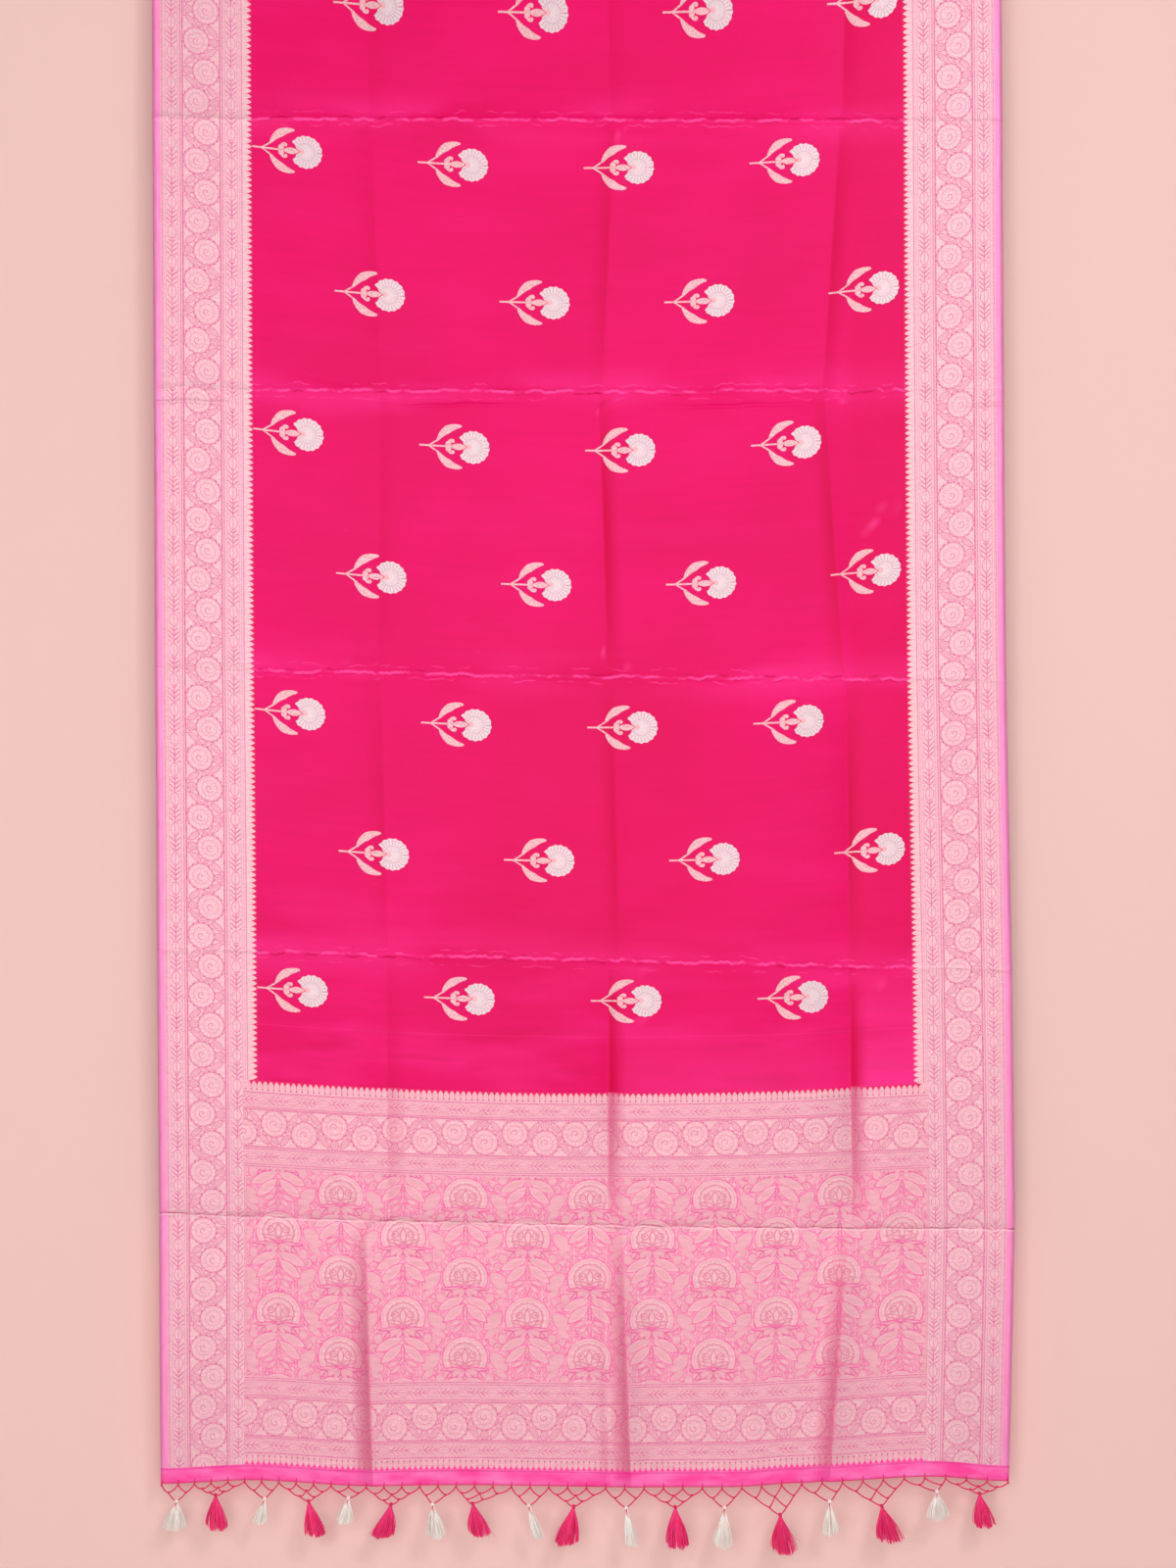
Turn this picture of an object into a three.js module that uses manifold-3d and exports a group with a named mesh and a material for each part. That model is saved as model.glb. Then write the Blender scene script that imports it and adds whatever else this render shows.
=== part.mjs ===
// A sari hung over a plain round rod: one uncut length of silk, 1.15 m wide, with its pallu
// down the front and a row of netted tassels along the pallu's hem.
// Millimetres, +Z up, X across the cloth, the front faces -Y. Origin: middle of the rod's axis.
import * as THREE from 'three';
import { mergeVertices } from 'three/addons/utils/BufferGeometryUtils.js';
import Module from 'manifold-3d';

// ---------- driving dimensions ----------
const ROD_RADIUS = 12.5;          // plain round rod
const ROD_LENGTH = 1300;
const ROD_CHAMFER = 1.5;
const ROD_SIDES = 40;

const CLOTH_WIDTH = 1150;         // selvedge to selvedge
const WALL = 1.2;                 // thickness of a stretch of cloth
const SEAM_GAP = 0.3;             // clear distance between neighbouring pieces
const OUTER_WRAP = 15.1;          // middle of the outer turn over the rod
const INNER_WRAP = 13.5;          // middle of the inner turn, under the outer one
const HEM_BAND = 20.5;            // height of the turned end band

const FRONT_LENGTH = 2206;        // hem to the level of the rod's axis, along the cloth
const BACK_LENGTH = 1850;         // rod's axis down to the turn at the back
const FREE_END_LENGTH = 350;      // the other end of the cloth, inside the front
const BACK_OUT = 22;              // how far behind the axis the back stretch hangs
const INNER_OUT = 8;              // and the stretch led up inside it
const DRIFT_LENGTH = 320;         // over this the wraps ease out to those distances
const FRONT_EASE = 140;           // over this the front takes up its relief below the rod
const WRAP_STEPS = 5;             // facets in a quarter turn over the rod

// selvedges of the front stretch: level below the rod's axis, X of each edge
const EDGES = [
  { drop: 0, left: -582, right: 568 },
  { drop: 357, left: -580, right: 570 },
  { drop: 724, left: -578.5, right: 572 },
  { drop: 1110, left: -576.5, right: 575 },
  { drop: 1496, left: -574, right: 583 },
  { drop: 1851, left: -571.5, right: 587.5 },
  { drop: 2206, left: -570, right: 579.5 },
];

// lower edge of the hem: distance from the left selvedge, level below the rod's axis,
// and how far the free edge stands out in front
const HEM = [
  { u: 0, drop: 2206, out: -6 },
  { u: 122, drop: 2199.4, out: 1.5 },
  { u: 277, drop: 2207.4, out: -1 },
  { u: 399, drop: 2206, out: 1.5 },
  { u: 612, drop: 2208.7, out: -0.5 },
  { u: 774, drop: 2208.7, out: 1.5 },
  { u: 870, drop: 2203.4, out: 0 },
  { u: 901, drop: 2200.8, out: 1 },
  { u: 1042, drop: 2194.1, out: 3.5 },
  { u: 1150, drop: 2202, out: -4 },
];

// storage folds across the cloth, counted from the hem: distance along the cloth, level below
// the axis at the left, middle and right, how far the fold stands out, its own sharp edge,
// and how far the panel above it sags back between two folds
const FOLDS = [
  { v: 0, left: 2206, middle: 2206, right: 2206, out: 0, edge: 0, sag: -1.5 },
  { v: 355, left: 1838.7, middle: 1854.7, right: 1860, out: -2, edge: -1.4, sag: -1.2 },
  { v: 710, left: 1480.7, middle: 1496.6, right: 1509.9, out: 1, edge: 1, sag: 1.2 },
  { v: 1096.5, left: 1100.2, middle: 1112.1, right: 1116.1, out: 2.6, edge: 1.3, sag: 1.4 },
  { v: 1481.5, left: 722.3, middle: 727.6, right: 723.6, out: 2.8, edge: 1.3, sag: 1.4 },
  { v: 1846.4, left: 357.6, middle: 359.6, right: 361.6, out: 3, edge: 1.3, sag: 1 },
  { v: 2206, left: 0, middle: 0, right: 0, out: 0, edge: 0, sag: 0 },
];
const FOLD_EDGE_WIDTH = 6;

// storage folds down the cloth, three of them, one row for each panel between two cross folds:
// place at the panel's lower and upper end, measured from the left selvedge, and how far the
// fold stands out (ridge) or in (furrow); a ridge is steep to its left, a furrow to its right
const CREASES = [
  { a1: 288, b1: 277, out1: 8, a2: 637, b2: 622, out2: 10, a3: 905, b3: 926, out3: 9 },
  { a1: 309, b1: 311, out1: -2.2, a2: 604, b2: 608, out2: -7, a3: 933, b3: 932, out3: -8 },
  { a1: 311, b1: 304, out1: 2, a2: 622, b2: 618, out2: 4, a3: 932, b3: 935, out3: -5 },
  { a1: 302, b1: 308, out1: -1.6, a2: 612, b2: 603, out2: -5, a3: 930, b3: 906, out3: 4.5 },
  { a1: 306, b1: 296, out1: 1.6, a2: 607, b2: 624, out2: 3, a3: 906, b3: 931, out3: -4 },
  { a1: 295, b1: 288, out1: -1.4, a2: 621, b2: 614, out2: -1.6, a3: 934, b3: 945, out3: -2.3 },
];
const CREASE_STEEP = 12;           // run-out of a crease on its steep side
const CREASE_GENTLE = 30;          // and on its gentle side
const TWIN = { apart: -30, out: 4.5, width: 9 };   // second ridge beside the middle one, at the hem
const HEM_SHARE = 0.5;             // share of a crease that is left at the stitched hem
const HEM_EASE = 70;               // it reaches its full height over this
const CREASE_JOG = 16;             // length over which a crease steps aside at a cross fold

// tassels, left to right: silk colour, X of the neck and of the tip, levels of the knot and of
// the tip below the hem, half width of the skirt at its end
const TASSELS = [
  { silk: 'white', neck: -548, tip: -552, knot: 24, end: 65, half: 15 },
  { silk: 'pink', neck: -495, tip: -493, knot: 19, end: 67, half: 15 },
  { silk: 'white', neck: -428, tip: -437, knot: 25, end: 61, half: 9 },
  { silk: 'pink', neck: -369, tip: -360, knot: 25, end: 74, half: 15 },
  { silk: 'white', neck: -315, tip: -321, knot: 17, end: 53, half: 11 },
  { silk: 'pink', neck: -257, tip: -273, knot: 25, end: 74, half: 17 },
  { silk: 'white', neck: -201, tip: -195, knot: 26, end: 74, half: 13 },
  { silk: 'pink', neck: -147, tip: -135, knot: 25, end: 72, half: 15 },
  { silk: 'white', neck: -71, tip: -55, knot: 27, end: 76, half: 8 },
  { silk: 'pink', neck: -10, tip: -21, knot: 27, end: 82, half: 16 },
  { silk: 'white', neck: 61, tip: 69, knot: 28, end: 82, half: 9 },
  { silk: 'pink', neck: 127, tip: 131, knot: 27, end: 84, half: 16 },
  { silk: 'white', neck: 194, tip: 192, knot: 28, end: 84, half: 13 },
  { silk: 'pink', neck: 269, tip: 276, knot: 41, end: 96, half: 18 },
  { silk: 'white', neck: 336, tip: 337, knot: 27, end: 74, half: 11 },
  { silk: 'pink', neck: 406, tip: 421, knot: 36, end: 89, half: 19 },
  { silk: 'white', neck: 481, tip: 482, knot: 20, end: 60, half: 16 },
  { silk: 'pink', neck: 539, tip: 546, knot: 19, end: 66, half: 16 },
];
const STITCHES = 46;               // net stitches along the hem, the first at the left selvedge
const STITCH_PITCH = 22.36;        // pitch at the left end
const STITCH_GROWTH = 0.071;       // how much wider each next stitch is
const STITCH_INSET = 1.4;          // the two end stitches sit this far in from the selvedges
const STITCH_UP = 4;               // a stitch climbs this far up the front of the hem
const STITCH_DOWN = 2.6;           // and its knot hangs this far below it
const THREAD = 1.6;                // width and depth of a net thread
const STITCH_WIDTH = 1.4;
const STITCH_SIDE = 1.6;           // where two groups share a stitch, each sits this far to its side
const STRANDS = 9;                 // locks in a tassel's skirt
const STRAND_ROOT = 0.85;          // radius of a lock at the neck
const STRAND_TIP = 2;              // and at its end
const HEAD_SIDES = 8;
const BACK_RELIEF = 1.6;           // depth of the similar folds on the hidden stretches
const PANEL = 372;                 // length of cloth between two cross folds there
const BACK_DRIFT = 0.0068;         // they lean this much to the right as they hang

// ---------- small helpers ----------
const clamp = (x, a, b) => Math.min(b, Math.max(a, x));
const mix = (a, b, t) => a + (b - a) * t;
const smooth = (t) => { const c = clamp(t, 0, 1); return c * c * (3 - 2 * c); };

// reads a table at x, straight between its rows
function table(rows, key, x, column) {
  let i = 0;
  while (i < rows.length - 2 && x > rows[i + 1][key]) i++;
  const t = clamp((x - rows[i][key]) / (rows[i + 1][key] - rows[i][key]), 0, 1);
  return mix(rows[i][column], rows[i + 1][column], t);
}

// reads a table at x along a soft curve through its rows
function curve(rows, key, x, column) {
  let i = 0;
  while (i < rows.length - 2 && x > rows[i + 1][key]) i++;
  const t = clamp((x - rows[i][key]) / (rows[i + 1][key] - rows[i][key]), 0, 1);
  return mix(rows[i][column], rows[i + 1][column], smooth(t));
}

// which panel between two cross folds v falls in, and how far up it
function panelAt(v) {
  let p = 0;
  while (p < FOLDS.length - 2 && v > FOLDS[p + 1].v) p++;
  return { p, t: clamp((v - FOLDS[p].v) / (FOLDS[p + 1].v - FOLDS[p].v), 0, 1) };
}

// place of crease 1, 2 or 3 at v; it steps aside within a short length at each cross fold
function creaseAt(k, v) {
  const { p, t } = panelAt(v);
  const here = mix(CREASES[p][`a${k}`], CREASES[p][`b${k}`], t);
  const up = FOLDS[p + 1].v - v;
  const down = v - FOLDS[p].v;
  if (up < CREASE_JOG && p < CREASES.length - 1) {
    const middle = (CREASES[p][`b${k}`] + CREASES[p + 1][`a${k}`]) / 2;
    return mix(middle, here, up / CREASE_JOG);
  }
  if (down < CREASE_JOG && p > 0) {
    const middle = (CREASES[p][`a${k}`] + CREASES[p - 1][`b${k}`]) / 2;
    return mix(middle, here, down / CREASE_JOG);
  }
  return here;
}

// level below the rod's axis of the point u, v of the front stretch
function dropAt(u, v) {
  const { p, t } = panelAt(v);
  const s = u / CLOTH_WIDTH;
  const level = (fold) => fold.left * (1 - s) * (1 - 2 * s) + fold.middle * 4 * s * (1 - s)
    + fold.right * s * (2 * s - 1);
  const low = p === 0 ? curve(HEM, 'u', u, 'drop') : level(FOLDS[p]);
  return mix(low, level(FOLDS[p + 1]), t);
}

// how far the front stretch stands out at u, v, in front of its plain hang
function reliefAt(u, v) {
  const { p, t } = panelAt(v);
  let out = mix(FOLDS[p].out, FOLDS[p + 1].out, t) - FOLDS[p].sag * 4 * t * (1 - t);
  for (const fold of FOLDS) out += fold.edge * Math.exp(-Math.abs(v - fold.v) / FOLD_EDGE_WIDTH);
  const swell = p === 0 ? Math.pow(Math.cos(t * Math.PI / 2), 0.5) : Math.sqrt(Math.sin(t * Math.PI));
  for (const k of [1, 2, 3]) {
    const d = u - creaseAt(k, v);
    const height = CREASES[p][`out${k}`] * swell * mix(HEM_SHARE, 1, smooth(v / HEM_EASE));
    const width = d * height < 0 ? CREASE_STEEP : CREASE_GENTLE;
    out += height * Math.exp(-Math.abs(d) / width);
    if (k === 2 && p === 0) {
      const twin = Math.abs(d - TWIN.apart);
      out += TWIN.out * height / CREASES[0].out2 * Math.exp(-twin / TWIN.width) * (1 - t);
    }
  }
  if (p === 0) out += curve(HEM, 'u', u, 'out') * (1 - t) * (1 - t);
  return out;
}

// ---------- the stretches of cloth as middle surfaces ----------
// front: v from the hem up; past the rod's axis it turns over the rod
function frontPoint(u, v) {
  const s = u / CLOTH_WIDTH;
  if (v >= FRONT_LENGTH) {
    const angle = (v - FRONT_LENGTH) / OUTER_WRAP;
    const x = mix(EDGES[0].left, EDGES[0].right, s);
    return [x, -OUTER_WRAP * Math.cos(angle), OUTER_WRAP * Math.sin(angle)];
  }
  const drop = dropAt(u, v);
  const left = table(EDGES, 'drop', drop, 'left');
  const right = table(EDGES, 'drop', drop, 'right');
  const ease = smooth(drop / FRONT_EASE);
  return [mix(left, right, s), -OUTER_WRAP - reliefAt(u, v) * ease, -drop];
}

// soft folds of the stretches behind, like those of the front
function backRelief(u, w) {
  const across = Math.abs(((w / PANEL) % 1) - 0.5) * 2 - 0.5;
  const flip = Math.floor(w / PANEL) % 2 ? -1 : 1;
  let out = across * BACK_RELIEF;
  for (const k of [1, 2, 3]) {
    const d = Math.abs(u - k * CLOTH_WIDTH / 4 - 8 * Math.sin(w / 190 + k));
    out += flip * BACK_RELIEF * Math.exp(-d / 22) * Math.sqrt(Math.abs(Math.sin(w / PANEL * Math.PI)));
  }
  return out;
}

// X of the stretches behind: they drift with the front, and stay inside its selvedges
function backX(u, drop) {
  const s = u / CLOTH_WIDTH;
  return mix(EDGES[0].left, EDGES[0].right, s) + BACK_DRIFT * drop;
}

// back: w from the crest of the rod down; the last part is half of the turn at the bottom
function backPoint(u, w) {
  const quarter = OUTER_WRAP * Math.PI / 2;
  if (w <= quarter) {
    const angle = w / OUTER_WRAP;
    return [backX(u, 0), OUTER_WRAP * Math.sin(angle), OUTER_WRAP * Math.cos(angle)];
  }
  const drop = w - quarter;
  const turn = (BACK_OUT - INNER_OUT) / 2;
  const middle = (BACK_OUT + INNER_OUT) / 2;
  if (drop > BACK_LENGTH) {
    const angle = (drop - BACK_LENGTH) / turn;
    return [backX(u, BACK_LENGTH), middle + turn * Math.cos(angle), -BACK_LENGTH - turn * Math.sin(angle)];
  }
  const ease = smooth(drop / DRIFT_LENGTH) * smooth((BACK_LENGTH - drop) / 60);
  const y = mix(OUTER_WRAP, BACK_OUT, smooth(drop / DRIFT_LENGTH));
  return [backX(u, drop), y + backRelief(u, drop) * ease, -drop];
}

// inner: w from the bottom of the turn up, and a quarter turn over the rod to its crest
function innerPoint(u, w) {
  const turn = (BACK_OUT - INNER_OUT) / 2;
  const middle = (BACK_OUT + INNER_OUT) / 2;
  const bend = turn * Math.PI / 2;
  if (w < bend) {
    const angle = Math.PI / 2 + w / turn;
    return [backX(u, BACK_LENGTH), middle + turn * Math.cos(angle), -BACK_LENGTH - turn * Math.sin(angle)];
  }
  const drop = BACK_LENGTH - (w - bend);
  if (drop <= 0) {
    const angle = -drop / INNER_WRAP;
    return [backX(u, 0), INNER_WRAP * Math.cos(angle), INNER_WRAP * Math.sin(angle)];
  }
  const ease = smooth(drop / DRIFT_LENGTH) * smooth((BACK_LENGTH - drop) / 60);
  const y = mix(INNER_WRAP, INNER_OUT, smooth(drop / DRIFT_LENGTH));
  return [backX(u, drop), y - 0.7 * backRelief(u, drop + 186) * ease, -drop];
}

// free end: w from the crest of the rod down its front
function freePoint(u, w) {
  const quarter = INNER_WRAP * Math.PI / 2;
  if (w <= quarter) {
    const angle = w / INNER_WRAP;
    return [backX(u, 0), -INNER_WRAP * Math.sin(angle), INNER_WRAP * Math.cos(angle)];
  }
  const drop = w - quarter;
  const y = mix(-INNER_WRAP, -INNER_OUT, smooth(drop / DRIFT_LENGTH));
  return [backX(u, drop), y, -drop];
}

// ---------- solids ----------
// unit normal of a middle surface, by small steps along it
function normalAt(point, u, v, uEnd, vEnd, side) {
  const e = 0.5;
  const [u0, u1] = [Math.max(0, u - e), Math.min(uEnd, u + e)];
  const [v0, v1] = [Math.max(vEnd[0], v - e), Math.min(vEnd[1], v + e)];
  const du = new THREE.Vector3(...point(u1, v)).sub(new THREE.Vector3(...point(u0, v)));
  const dv = new THREE.Vector3(...point(u, v1)).sub(new THREE.Vector3(...point(u, v0)));
  return du.cross(dv).normalize().multiplyScalar(side);
}

// closed wall of even thickness round a middle surface; columns(v) gives the u of each column
function wall(point, columns, rows, side) {
  const vEnd = [rows[0], rows[rows.length - 1]];
  const wide = columns(rows[0]).length;
  const high = rows.length;
  const outer = [];
  const inner = [];
  for (const v of rows) {
    for (const u of columns(v)) {
      const p = new THREE.Vector3(...point(u, v));
      const n = normalAt(point, u, v, CLOTH_WIDTH, vEnd, side);
      outer.push(p.clone().addScaledVector(n, WALL / 2));
      inner.push(p.clone().addScaledVector(n, -WALL / 2));
    }
  }
  const points = [...outer, ...inner];
  const back = outer.length;
  const faces = [];
  const quad = (a, b, c, d) => { faces.push([a, b, c], [a, c, d]); };
  const at = (i, j) => j * wide + i;
  for (let j = 0; j < high - 1; j++) {
    for (let i = 0; i < wide - 1; i++) {
      quad(at(i, j), at(i + 1, j), at(i + 1, j + 1), at(i, j + 1));
      quad(back + at(i, j), back + at(i, j + 1), back + at(i + 1, j + 1), back + at(i + 1, j));
    }
  }
  for (let i = 0; i < wide - 1; i++) {
    quad(back + at(i, 0), back + at(i + 1, 0), at(i + 1, 0), at(i, 0));
    quad(at(i, high - 1), at(i + 1, high - 1), back + at(i + 1, high - 1), back + at(i, high - 1));
  }
  for (let j = 0; j < high - 1; j++) {
    quad(at(0, j), at(0, j + 1), back + at(0, j + 1), back + at(0, j));
    quad(back + at(wide - 1, j), back + at(wide - 1, j + 1), at(wide - 1, j + 1), at(wide - 1, j));
  }
  if (side < 0) for (const f of faces) f.reverse();
  return { points, faces };
}

function toGeometry({ points, faces }) {
  const geometry = new THREE.BufferGeometry();
  geometry.setAttribute('position', new THREE.Float32BufferAttribute(points.flatMap((p) => [p.x, p.y, p.z]), 3));
  geometry.setIndex(faces.flat());
  geometry.computeVertexNormals();
  return geometry;
}

const wasm = await Module();
wasm.setup();

function toManifold({ points, faces }) {
  const vertProperties = new Float32Array(points.flatMap((p) => [p.x, p.y, p.z]));
  const triVerts = new Uint32Array(faces.flat());
  return new wasm.Manifold(new wasm.Mesh({ numProp: 3, vertProperties, triVerts }));
}

function fromManifold(solid) {
  const mesh = solid.getMesh();
  const geometry = new THREE.BufferGeometry();
  const n = mesh.numProp;
  const xyz = new Float32Array(mesh.vertProperties.length / n * 3);
  for (let i = 0; i < xyz.length / 3; i++) for (let k = 0; k < 3; k++) xyz[3 * i + k] = mesh.vertProperties[n * i + k];
  geometry.setAttribute('position', new THREE.BufferAttribute(xyz, 3));
  geometry.setIndex(new THREE.BufferAttribute(mesh.triVerts, 1));
  const merged = mergeVertices(geometry, 1e-3);
  merged.computeVertexNormals();
  return merged;
}

// closed tube of a few sides through path points, each with its own radius
function tube(path, radii, sides, twist) {
  const points = [];
  const faces = [];
  const forward = path.map((p, i) => {
    const a = path[Math.max(0, i - 1)];
    const b = path[Math.min(path.length - 1, i + 1)];
    return b.clone().sub(a).normalize();
  });
  const seed = Math.abs(forward[0].y) < 0.9 ? new THREE.Vector3(0, 1, 0) : new THREE.Vector3(1, 0, 0);
  path.forEach((p, i) => {
    const right = seed.clone().cross(forward[i]).normalize();
    const up = forward[i].clone().cross(right);
    for (let k = 0; k < sides; k++) {
      const angle = twist + 2 * Math.PI * k / sides;
      points.push(p.clone().addScaledVector(right, radii[i] * Math.cos(angle))
        .addScaledVector(up, radii[i] * Math.sin(angle)));
    }
  });
  for (let i = 0; i < path.length - 1; i++) {
    for (let k = 0; k < sides; k++) {
      const a = i * sides + k;
      const b = i * sides + (k + 1) % sides;
      faces.push([a, b, b + sides], [a, b + sides, a + sides]);
    }
  }
  const last = (path.length - 1) * sides;
  for (let k = 1; k < sides - 1; k++) {
    faces.push([0, k + 1, k]);
    faces.push([last, last + k, last + k + 1]);
  }
  return toManifold({ points, faces });
}

// columns of the front stretch: they follow the three creases, close together beside them
function frontColumns(v) {
  const [c1, c2, c3] = [1, 2, 3].map((k) => creaseAt(k, v));
  return [0, 16, 122, 185, ...[-42, -16, 0, 14, 40].map((d) => c1 + d), 399, 475,
    ...[-60, -42, -33, -24, -10, 0, 13, 40].map((d) => c2 + d), 720, 790,
    ...[-42, -16, 0, 14, 40].map((d) => c3 + d), 1042, 1095, CLOTH_WIDTH - 16, CLOTH_WIDTH];
}

// X of net stitch n, and the point of the hem's lower edge there
const stitchReach = STITCH_PITCH * (STITCHES - 1) + STITCH_GROWTH * (STITCHES - 1) ** 2;
function stitchU(n) {
  const s = (STITCH_PITCH * n + STITCH_GROWTH * n * n) / stitchReach;
  return STITCH_INSET + s * (CLOTH_WIDTH - 2 * STITCH_INSET);
}
function hemPoint(u) {
  const columns = frontColumns(0);
  let i = 0;
  while (i < columns.length - 2 && u > columns[i + 1]) i++;
  const t = clamp((u - columns[i]) / (columns[i + 1] - columns[i]), 0, 1);
  const a = new THREE.Vector3(...frontPoint(columns[i], 0));
  return a.lerp(new THREE.Vector3(...frontPoint(columns[i + 1], 0)), t);
}

// flat outline of a straight thread from a to b, in the plane of the net
function threadOutline(a, b, width) {
  const d = b.clone().sub(a).normalize();
  const n = new THREE.Vector2(-d.y, d.x).multiplyScalar(width / 2);
  const past = d.clone().multiplyScalar(width * 0.45);
  return [[a, -1, -1], [b, 1, -1], [b, 1, 1], [a, -1, 1]].map(([p, end, side]) => [
    p.x + past.x * end + n.x * side, p.y + past.y * end + n.y * side]);
}

// one net group with its knot, head and skirt, fused into one body
function tassel(index) {
  const row = TASSELS[index];
  const white = row.silk === 'white';
  const centre = 1 + 2.5 * index;
  const reach = white ? 1 : 1.5;
  const first = centre - reach;
  const count = white ? 3 : 4;
  const before = (THREAD + WALL) / 2 + SEAM_GAP;             // the net hangs this far before the hem
  const shared = STITCH_SIDE;                                // neighbours share a stitch side by side
  const outlines = [];
  const tops = [];
  for (let i = 0; i < count; i++) {
    const inward = i === 0 ? 1 : i === count - 1 ? -1 : 0;
    const end = (index === 0 && i === 0) || (index === TASSELS.length - 1 && i === count - 1);
    const p = hemPoint(stitchU(first + i));
    const x = p.x + (end ? 0 : inward * shared);
    const top = new THREE.Vector2(x, p.z - STITCH_DOWN);
    tops.push(top);
    outlines.push(threadOutline(new THREE.Vector2(x, p.z + STITCH_UP), top, STITCH_WIDTH));
  }
  const hem = hemPoint(stitchU(centre));
  const knot = new THREE.Vector2(row.neck, hem.z - row.knot);
  const thread = (a, b) => outlines.push(threadOutline(a, b, THREAD));
  const between = (a, b, t, sink) => a.clone().lerp(b, t).add(new THREE.Vector2(0, -sink));
  if (white) {
    const left = between(tops[0], knot, 0.45, 0.8);
    const right = between(tops[2], knot, 0.45, 0.8);
    for (const [a, b] of [[tops[0], left], [tops[1], left], [tops[1], right], [tops[2], right],
      [left, knot], [right, knot]]) thread(a, b);
  } else {
    const left = between(tops[0], knot, 0.36, 0.5);
    const right = between(tops[3], knot, 0.36, 0.5);
    const middle = between(tops[1].clone().lerp(tops[2], 0.5), knot, 0.34, 1.2);
    const lowLeft = between(tops[0], knot, 0.72, 0.5);
    const lowRight = between(tops[3], knot, 0.72, 0.5);
    for (const [a, b] of [[tops[0], left], [tops[1], left], [tops[1], middle], [tops[2], middle],
      [tops[2], right], [tops[3], right], [left, lowLeft], [middle, lowLeft], [middle, lowRight],
      [right, lowRight], [lowLeft, knot], [lowRight, knot]]) thread(a, b);
  }
  // the flat net, laid to the hem's own relief at the top and to the knot at the bottom
  const knotY = hem.y - before;
  const flat = wasm.CrossSection.union(outlines.map((o) => new wasm.CrossSection([o], 'NonZero')));
  const lattice = flat.simplify(0.05).extrude(THREAD, 0, 0, [1, 1], true).rotate([90, 0, 0]);
  const net = lattice.warp((p) => {
    const u = (p[0] - EDGES[6].left) / (EDGES[6].right - EDGES[6].left) * CLOTH_WIDTH;
    const edge = hemPoint(u);
    const down = clamp((edge.z - STITCH_DOWN - p[2]) / (row.knot - STITCH_DOWN), 0, 1);
    p[1] += mix(edge.y - before, knotY, down);
  });
  // knot or bead, then the neck and the head of the tassel
  const neck = new THREE.Vector3(knot.x, knotY, knot.y);
  const length = row.end - row.knot;
  const lean = new THREE.Vector3(row.tip - row.neck, 0, -length).normalize();
  const along = (d) => neck.clone().addScaledVector(lean, d);
  const head = (white ? 0.2 : 0.14) * length;
  const pieces = [net, tube([along(-2.8), along(-1.2), along(1.6), along(3.4), along(head + 1)],
    white ? [1, 2.9, 2.9, 1.7, 3.3] : [1, 2.7, 3, 2.4, 3.6], HEAD_SIDES, 0.2)];
  // skirt: locks spread round the head, joined only at their roots
  for (let j = 0; j < STRANDS; j++) {
    const ring = j % 3 === 2 ? 0.3 : 1;
    const angle = 2 * Math.PI * (j + 0.5) / STRANDS + index;
    const end = length * (1 - 0.05 * Math.abs(Math.sin(3.7 * j + 1.3 * index)));
    const path = [[head, 2.3 * ring], [end, (row.half - STRAND_TIP) * ring]].map(([d, r]) => {
      const p = along(d);
      return new THREE.Vector3(p.x + r * Math.cos(angle), p.y + 0.66 * r * Math.sin(angle), p.z);
    });
    pieces.push(tube(path, [STRAND_ROOT, STRAND_TIP], 3, angle));
  }
  // one outer skin: small pockets between the roots are closed
  const skins = wasm.Manifold.union(pieces).simplify(0.03).decompose();
  return skins.reduce((a, b) => (b.volume() > a.volume() ? b : a));
}

// ---------- rows and columns of the walls ----------
// rows of the front stretch: close together at each cross fold
const frontRows = [HEM_BAND + SEAM_GAP, 60];
for (let p = 0; p < FOLDS.length - 1; p++) {
  const low = FOLDS[p].v;
  const high = FOLDS[p + 1].v;
  if (p > 0) frontRows.push(low, low + CREASE_JOG);
  frontRows.push(mix(low, high, 0.2), mix(low, high, 0.5), mix(low, high, 0.8));
  if (p < FOLDS.length - 2) frontRows.push(high - CREASE_JOG);
}
frontRows.push(FRONT_LENGTH - 30, FRONT_LENGTH);
for (let i = 1; i <= WRAP_STEPS; i++) {
  frontRows.push(FRONT_LENGTH + i / WRAP_STEPS * (OUTER_WRAP * Math.PI / 2 - SEAM_GAP / 2));
}

// columns of a stretch behind: three creases at its quarters
function backColumns() {
  const quarter = CLOTH_WIDTH / 4;
  const list = [0, quarter / 2];
  for (const k of [1, 2, 3]) {
    list.push(k * quarter - 22, k * quarter, k * quarter + 22, (k + 0.5) * quarter);
  }
  list.push(CLOTH_WIDTH);
  return list;
}
const innerColumns = () => [0, 1, 2, 3, 4, 5, 6, 7, 8].map((i) => CLOTH_WIDTH * i / 8);
// rows of a stretch behind: quarter turn over the rod, the fall, half of the turn at the bottom
function fallRows(wrap, length, bend, perPanel) {
  const rows = [];
  const quarter = wrap * Math.PI / 2;
  for (let i = 0; i <= WRAP_STEPS; i++) rows.push(i ? quarter * i / WRAP_STEPS : SEAM_GAP / 2);
  for (const d of [60, 160, 260]) rows.push(quarter + d);
  for (let d = PANEL; d < length - 90; d += PANEL / perPanel) rows.push(quarter + d);
  rows.push(quarter + length - 60, quarter + length);
  for (let i = 1; i <= 4; i++) rows.push(quarter + length + bend * i / 4 - (i === 4 ? SEAM_GAP / 2 : 0));
  return rows;
}
const halfTurn = (BACK_OUT - INNER_OUT) / 2 * Math.PI / 2;
const backRows = fallRows(OUTER_WRAP, BACK_LENGTH, halfTurn, 4);
const innerTotal = halfTurn + BACK_LENGTH + INNER_WRAP * Math.PI / 2;
const innerRows = fallRows(INNER_WRAP, BACK_LENGTH, halfTurn, 2).map((w) => innerTotal - w).reverse();
const freeRows = [];
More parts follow.
